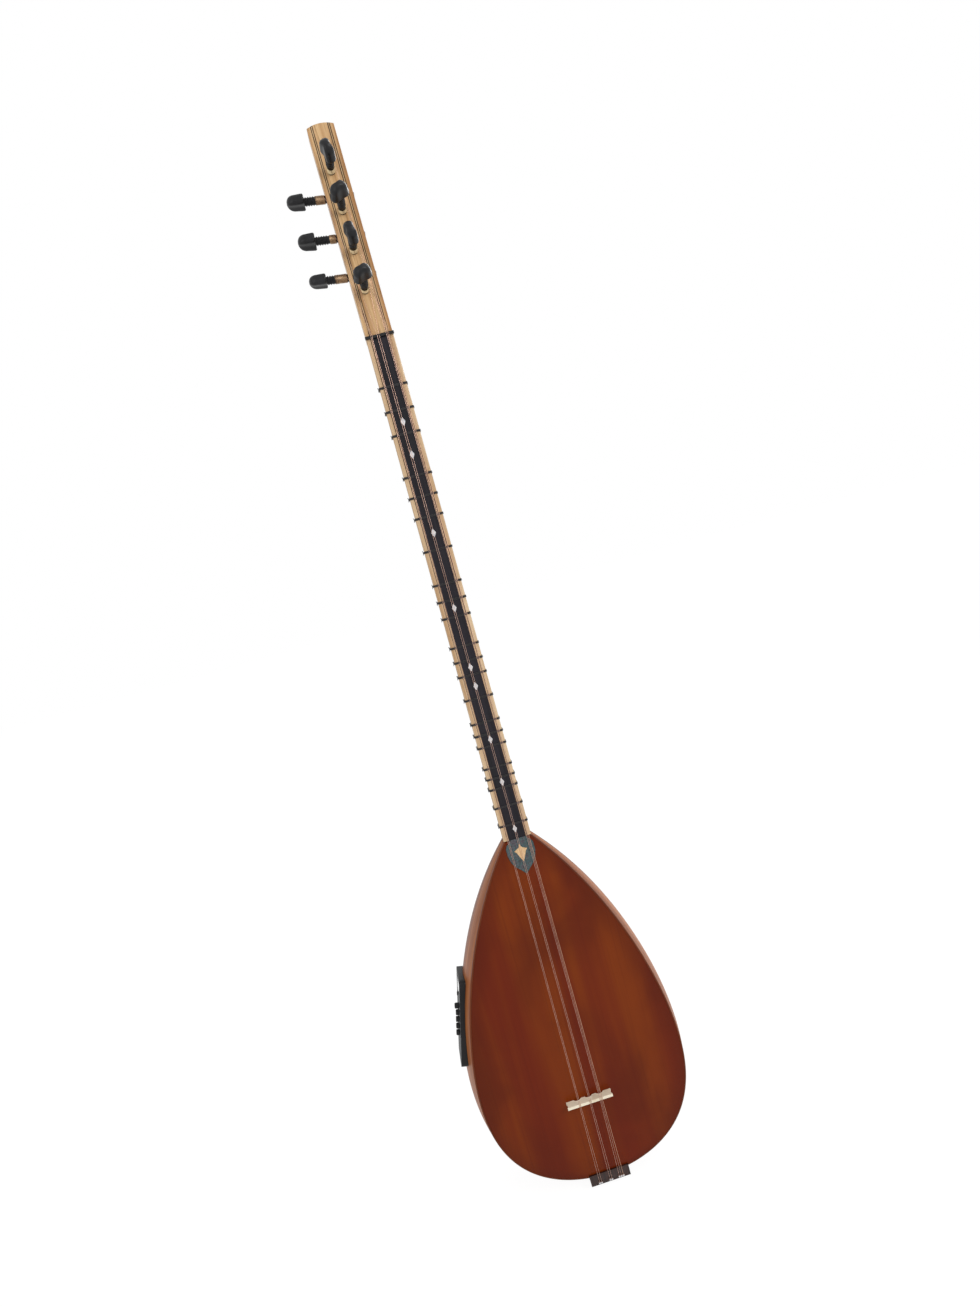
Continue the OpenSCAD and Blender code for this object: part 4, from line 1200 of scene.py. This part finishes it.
@dataclass
class Pegs:
    """The four front pegs and the three side pegs."""

    front_turns: tuple[float, ...] = (105, 22, 100, 18)
    side_turns: tuple[float, ...] = (90, 98, 84)
    front_wound: tuple[float, ...] = (6, 5, 5.5, 5)
    side_wound: tuple[float, ...] = (10, 7, 13)

    def build(self) -> None:
        """Makes every peg on the body that its joint turns."""
        for i, (turn, wound) in enumerate(zip(self.front_turns, self.front_wound), 1):
            joint = JOINTS[f"front_peg_turn_{i}"]
            Peg(f"front_peg_{i}", joint, turn, 21, wound, COIL_LIT, True).build(joint["child"])
        for i, (turn, wound) in enumerate(zip(self.side_turns, self.side_wound), 1):
            joint = JOINTS[f"side_peg_turn_{i}"]
            # Side pegs take the darker copy of the winding colour: painted shade.
            Peg(f"side_peg_{i}", joint, turn, 29, wound, COIL_SHADED, False).build(joint["child"])


@dataclass
class Strings:
    """Seven strings in three courses, from their pegs over the nut and the bridge to the tail pins."""

    radius: float = 0.3
    plain: float = 0.17
    wound: float = 0.24
    gap: float = 0.15
    nut_spread: float = 16.6
    tail_spread: float = 26.0
    nut_pitch: float = 1.2
    middle_nut_pitch: float = 2.0
    bridge_pitch: float = 1.4
    tail_pitch: float = 2.6
    nut_middle: float = -1.3
    sizes: tuple[int, ...] = (2, 2, 3)
    wound_string: tuple[int, int] = (2, 2)
    winding: float = 4.4
    peg_first: float = 46.0
    peg_pitch: float = 41.3
    bend_trim: float = 0.7
    eye_radius: float = 1.1

    def _across(self, course: int, index: int, spread: float, pitch: float, middle: float = 0.0) -> float:
        """Place of a string across the courses."""
        centred = index - (self.sizes[course] - 1) / 2
        return (middle if course == 1 else 0.0) + (course - 1) * spread / 2 + centred * pitch

    def _head(self, x: float, y: float, z: float) -> np.ndarray:
        """A point of the leaned-back head, in the frame."""
        c, s = math.cos(HEAD_LEAN), math.sin(HEAD_LEAN)
        return np.array([x, y * c + z * s, NUT_THICK - y * s + z * c])

    def _start(self, course: int, index: int) -> list[np.ndarray]:
        """Where a string leaves its peg, and where a side peg's string bends over the head's edge."""
        lean = math.radians(6)
        off = self.winding + self.radius + self.gap
        if course == 2 or (course == 1 and index == 1):
            number = 3 - index if course == 2 else 4
            z = self.peg_first + (4 - number) * self.peg_pitch
            return [self._head(-1.5 + off, -5 * math.cos(lean), z + 5 * math.sin(lean))]
        number = 3 - index if course == 0 else 1
        z = self.peg_first + (3.5 - number) * self.peg_pitch
        leave = self._head(-14 - 2.5 * math.cos(lean), 9 - off, z + 2.5 * math.sin(lean))
        return [leave, self._head(-14 - self.radius, -self.radius - self.gap, z - 7)]

    def _string(self, course: int, index: int) -> Shape:
        """One string and the loop that holds it on its pin."""
        bridge_low, bridge_high = node_box("bridge")
        pin_z = node_box("string_pins")[1][2] - self.eye_radius
        nut_pitch = self.middle_nut_pitch if course == 1 else self.nut_pitch
        nut = self._across(course, index, self.nut_spread, nut_pitch, self.nut_middle)
        bridge = self._across(course, index, self.tail_spread, self.bridge_pitch)
        tail = self._across(course, index, self.tail_spread, self.tail_pitch)
        corners = np.array(
            self._start(course, index)
            + [
                np.array([nut, -2.2, NUT_THICK / 2]),
                np.array([bridge, bridge_low[1], (bridge_low[2] + bridge_high[2]) / 2]),
                np.array([tail, -3.3, pin_z + 1.0]),
            ]
        )
        path = [corners[0]]
        for before, here, after in zip(corners[:-2], corners[1:-1], corners[2:]):
            back, ahead = before - here, after - here
            a = here + back / np.linalg.norm(back) * self.bend_trim
            b = here + ahead / np.linalg.norm(ahead) * self.bend_trim
            t = np.linspace(0, 1, 5)[:, None]
            path += list((1 - t) ** 2 * a + 2 * t * (1 - t) * here + t**2 * b)
        path.append(corners[-1])
        thick = self.wound if (course, index) == self.wound_string else self.plain
        line = tube(np.array(path), thick, 10, np.array([1.0, 0.0, 0.03]))
        turn = np.linspace(0, FULL_TURN, 25, endpoint=False)
        r = self.eye_radius
        loop = corners[-1] + np.stack([r * np.sin(turn), 0.12 * np.sin(turn / 2), r * np.cos(turn) - r], -1)
        eye = tube(loop, thick * 0.9, 8, np.array([0.0, 1.0, 0.0]), loop=True)
        return line.and_shapes([eye])

    def build(self) -> None:
        """Makes the strings, the last of the right course wound."""
        names = ("strings_left", "strings_middle", "strings_right")
        for course, size in enumerate(self.sizes):
            for index in range(size):
                finish = WOUND_STEEL if (course, index) == self.wound_string else STEEL
                name = f"string_{course + 1}_{index + 1}"
                Maker.piece(name, self._string(course, index), finish, "string_steel", nodes=(names[course],))


# ---------------------------------------------------------------- preamp and output


@dataclass
class Preamp:
    """The preamp in the bowl's upper side, its knobs, window, screws and battery."""

    OPENING = (36.8, 92.8)
    RISE = 3.2
    KNOB_ROW = 8.0
    KNOB_FIRST = 18.0

    place: Place
    plate: tuple[float, float] = (44.0, 108.0)
    knob_radius: float = 3.4
    volume_height: float = 5.4
    tone_height: float = 4.2
    screw_inset: tuple[float, float] = (3.2, 4.0)

    @classmethod
    def find_place(cls) -> Place:
        """The middle of the preamp on the bowl's surface, from its joints.

        Returns:
            The place: x to the front, y up the body and z out of the bowl.
        """
        volume = JOINTS["volume_turn"]
        out, forward = np.array(volume["axis"]), np.array([0.0, -1.0, 0.0])
        axes = np.array([forward, np.cross(out, forward), out])
        knob = np.array([cls.KNOB_ROW, cls.KNOB_FIRST, cls.RISE])
        return Place(np.array(volume["pos_m"]) / MM - knob @ axes, axes)

    def _knob(self, place: Place, height: float) -> Shape:
        """A small knob: fluted skirt, eased cap and a dished top."""
        r = self.knob_radius
        profile = np.array(
            [(1.5, -7.2), (1.5, 0.25), (r, 0.3), (r * 1.02, 0.6), (r * 0.99, height * 0.75),
             (r * 0.93, height - 0.35), (r * 0.82, height - 0.05), (r * 0.7, height),
             (r * 0.45, height - 0.18), (r * 0.1, height - 0.22)]
        )
        sides = 96
        angle = np.linspace(0, FULL_TURN, sides, endpoint=False)
        depth = np.array([0, 0, 0.02, 0.06, 0.06, 0.045, 0.01, 0, 0, 0])[:, None]
        ripple = 1 - depth * (0.5 + 0.5 * np.cos(16 * angle))
        return turned_shape(profile, sides, place, ripple)

    def _pointer(self, place: Place, height: float) -> Shape:
        """The pale line on a knob: a thin rounded bar from near the middle to the rim."""
        s = np.linspace(0, 1, 8)
        out = 0.6 + s * (self.knob_radius * 0.86 - 0.6)
        path = np.stack([np.zeros_like(s), out, height - 0.1 + 0.02 * s], -1)
        return tube(place.put(path), 0.2 * np.sqrt(np.clip(1 - (2 * s - 1) ** 8, 0.05, 1)), 8, place.axes[2])

    def _screw(self, place: Place) -> Shape:
        """A countersunk cross-head screw.

        The head is a shallow dome of rings. The recess is a cross: it is deep where a point lies close to
        either axis and inside the reach of its arms, and its walls slope over a tenth of a millimetre.
        """
        head = np.linspace(0.04, 1.7, 26)
        radius = np.concatenate([head, [1.95, 2.15, 2.25, 2.28, 2.28, 1.45, 1.45, 0.3]])
        drop = np.concatenate([-0.1 - 0.22 * (radius[:29] / 2.28) ** 2, [-0.42, -0.7, -1.2, -11.0, -11.8]])
        angle = np.linspace(0, FULL_TURN, 120, endpoint=False)
        x, y = radius[:, None] * np.cos(angle), radius[:, None] * np.sin(angle)
        near_axis = np.clip((0.34 - np.minimum(abs(x), abs(y))) / 0.1, 0, 1)
        in_reach = np.clip((1.4 - radius) / 0.1, 0, 1)[:, None]
        z = drop[:, None] - 0.5 * near_axis * in_reach
        rings = np.stack([x, y, z], -1)
        return skin(place.put(rings))

    def _local(self, x: float, y: float, z: float) -> Place:
        """A place on the preamp with the preamp's axes."""
        return Place(self.place.put(np.array([x, y, z])), self.place.axes)

    def build(self) -> None:
        """Makes the preamp's pieces."""
        Maker.softened("preamp_bezel", PREAMP_BLACK, "preamp_plastic", 0.5)
        Maker.softened("battery_door", PREAMP_BLACK, "preamp_plastic", 0.35, "door_body")
        Maker.softened("tuner_button", KNOB_BLACK, "preamp_plastic", 0.3, "button_body")
        Maker.dress("preamp_case", PREAMP_BLACK)
        Maker.softened("tuner_window", WINDOW, "window_plastic", 0.3)
        Maker.softened("battery", BATTERY, "battery_shell", 1.2)
        Maker.dress("piezo_pickup", PICKUP_BRASS)
        Maker.softened("output_jack", CHROME, "jack_metal", 0.35)
        Maker.dress("inner_leads", LEAD)
        x, y = self.plate[0] / 2 - self.screw_inset[0], self.plate[1] / 2 - self.screw_inset[1]
        corners = [self._screw(self._local(a * x, b * y, self.RISE)) for a in (-1, 1) for b in (-1, 1)]
        screws = corners[0].and_shapes(corners[1:])
        Maker.piece("preamp_cross_screws", screws, CHROME, "screw_steel", nodes=("preamp_screws",))
        knobs = [("volume_knob", "volume_turn", self.volume_height)]
        knobs += [(f"tone_knob_{i}", f"tone_turn_{i}", self.tone_height) for i in range(1, 5)]
        for node, joint_name, height in knobs:
            joint = JOINTS[joint_name]
            place = Place(np.array(joint["pos_m"]) / MM, self.place.axes)
            cap, line = self._knob(place, height), self._pointer(place, height)
            Maker.piece(node + "_cap", cap, KNOB_BLACK, "knob_plastic", joint["child"], (node,))
            Maker.piece(node + "_line", line, LINE_WHITE, "knob_plastic", joint["child"], (node,))


# ---------------------------------------------------------------- studio


@dataclass
class Studio:
    """Camera, lamps, world and the pale floor."""

    eye: tuple[float, float, float] = (-0.0547, -0.8774, -0.2299)
    forward: tuple[float, float, float] = (0.0810, 0.9848, -0.1537)
    up: tuple[float, float, float] = (0.2731, 0.1264, 0.9537)
    lens: float = 22.63
    sensor: float = 36.0
    shift_up: float = 0.0183
    even_light: float = 0.55
    floor_gap: float = 0.001
    floor_reach: float = 12.0
    floor_colour: Colour = (0.86, 0.86, 0.86, 1)
    floor_glow: float = 1.1
    floor_share: float = 0.85

    def _camera(self) -> None:
        """A camera at the eye, looking forward, with up towards the top of its frame."""
        data = bpy.data.cameras.new("camera")
        data.lens = self.lens
        data.sensor_width = self.sensor
        data.shift_y = self.shift_up
        data.clip_start = 0.01
        data.clip_end = 50
        camera = bpy.data.objects.new("camera", data)
        back = -Vector(self.forward).normalized()
        right = Vector(self.up).cross(back).normalized()
        turn = Matrix((right, back.cross(right), back)).transposed().to_4x4()
        camera.matrix_world = Matrix.Translation(Vector(self.eye)) @ turn
        bpy.context.scene.collection.objects.link(camera)
        bpy.context.scene.camera = camera

    @staticmethod
    def _lamp(name: str, at: tuple[float, float, float], size: float, power: float) -> None:
        """A square soft lamp that points at the middle of the instrument."""
        data = bpy.data.lights.new(name, "AREA")
        data.size = size
        data.energy = power
        lamp = bpy.data.objects.new(name, data)
        lamp.location = at
        lamp.rotation_mode = "QUATERNION"
        lamp.rotation_quaternion = (Vector((0.0, 0.0, -0.5)) - Vector(at)).to_track_quat("-Z", "Y")
        bpy.context.scene.collection.objects.link(lamp)

    @staticmethod
    def _node(tree: bpy.types.NodeTree, kind: str, inputs: dict, operation: str = "") -> bpy.types.Node:
        """A node whose inputs are numbers, colours or other nodes' sockets."""
        made = tree.nodes.new(kind)
        if operation:
            made.operation = operation
        for number, value in inputs.items():
            if isinstance(value, bpy.types.NodeSocket):
                tree.links.new(value, made.inputs[number])
            else:
                made.inputs[number].default_value = value
        return made

    @classmethod
    def _shade(
        cls, owner: bpy.types.ID, output: str, lit: tuple[str, dict], seen: tuple[str, dict], share: float
    ) -> None:
        """Gives a world or a material one shader for light on surfaces and one for what is seen.

        Args:
            owner: the world or the material.
            output: type of its output node.
            lit: type and inputs of the shader that meets all other light.
            seen: type and inputs of the shader that the camera, a reflection or glass sees.
            share: how much of the second shader is mixed in there.
        """
        owner.use_nodes = True
        tree = owner.node_tree
        tree.nodes.clear()
        rays = cls._node(tree, "ShaderNodeLightPath", {}).outputs
        direct = rays["Is Camera Ray"]
        for other in ("Is Glossy Ray", "Is Transmission Ray"):
            direct = cls._node(tree, "ShaderNodeMath", {0: direct, 1: rays[other]}, "MAXIMUM").outputs[0]
        part = cls._node(tree, "ShaderNodeMath", {0: direct, 1: share}, "MULTIPLY").outputs[0]
        first, second = (cls._node(tree, *shader).outputs[0] for shader in (lit, seen))
        mixed = cls._node(tree, "ShaderNodeMixShader", {0: part, 1: first, 2: second}).outputs[0]
        cls._node(tree, output, {0: mixed})

    def _world(self) -> None:
        """White behind everything, and a plain even light."""
        world = bpy.data.worlds.new("studio")
        lit = ("ShaderNodeBackground", {0: WHITE, 1: self.even_light})
        self._shade(world, "ShaderNodeOutputWorld", lit, ("ShaderNodeBackground", {0: WHITE, 1: 1.0}), 1.0)
        bpy.context.scene.world = world

    def _floor(self) -> None:
        """A wide pale floor under the tail, which shows white with a faint shadow."""
        low, reach = CAD_BOX[0].z - self.floor_gap, self.floor_reach
        mesh = bpy.data.meshes.new("floor")
        corners = [(-reach, -reach, low), (reach, -reach, low), (reach, reach, low), (-reach, reach, low)]
        mesh.from_pydata(corners, [], [(0, 1, 2, 3)])
        floor = bpy.data.objects.new("floor", mesh)
        bpy.context.scene.collection.objects.link(floor)
        made = bpy.data.materials.new("floor")
        matte = ("ShaderNodeBsdfDiffuse", {0: self.floor_colour})
        glow = ("ShaderNodeEmission", {0: WHITE, 1: self.floor_glow})
        self._shade(made, "ShaderNodeOutputMaterial", matte, glow, self.floor_share)
        mesh.materials.append(made)

    def build(self) -> None:
        """Sets up the studio."""
        self._camera()
        self._world()
        self._floor()
        self._lamp("key", (1.5, -1.7, 0.7), 1.2, 26)
        self._lamp("fill", (-1.8, -1.6, 0.2), 1.6, 10)
        self._lamp("rim", (0.9, 1.6, 0.8), 1.0, 14)
        bpy.context.scene.view_settings.view_transform = "Standard"


def main() -> None:
    """Builds every part of the instrument and the studio around it."""
    logging.basicConfig(level=logging.INFO, format="%(message)s")
    preamp = Preamp(Preamp.find_place())
    for part in (Bowl(BowlForm(), preamp.place), Trim(), Neck(), Pegs(), Strings(), preamp, Studio()):
        part.build()


if __name__ == "__main__":
    main()
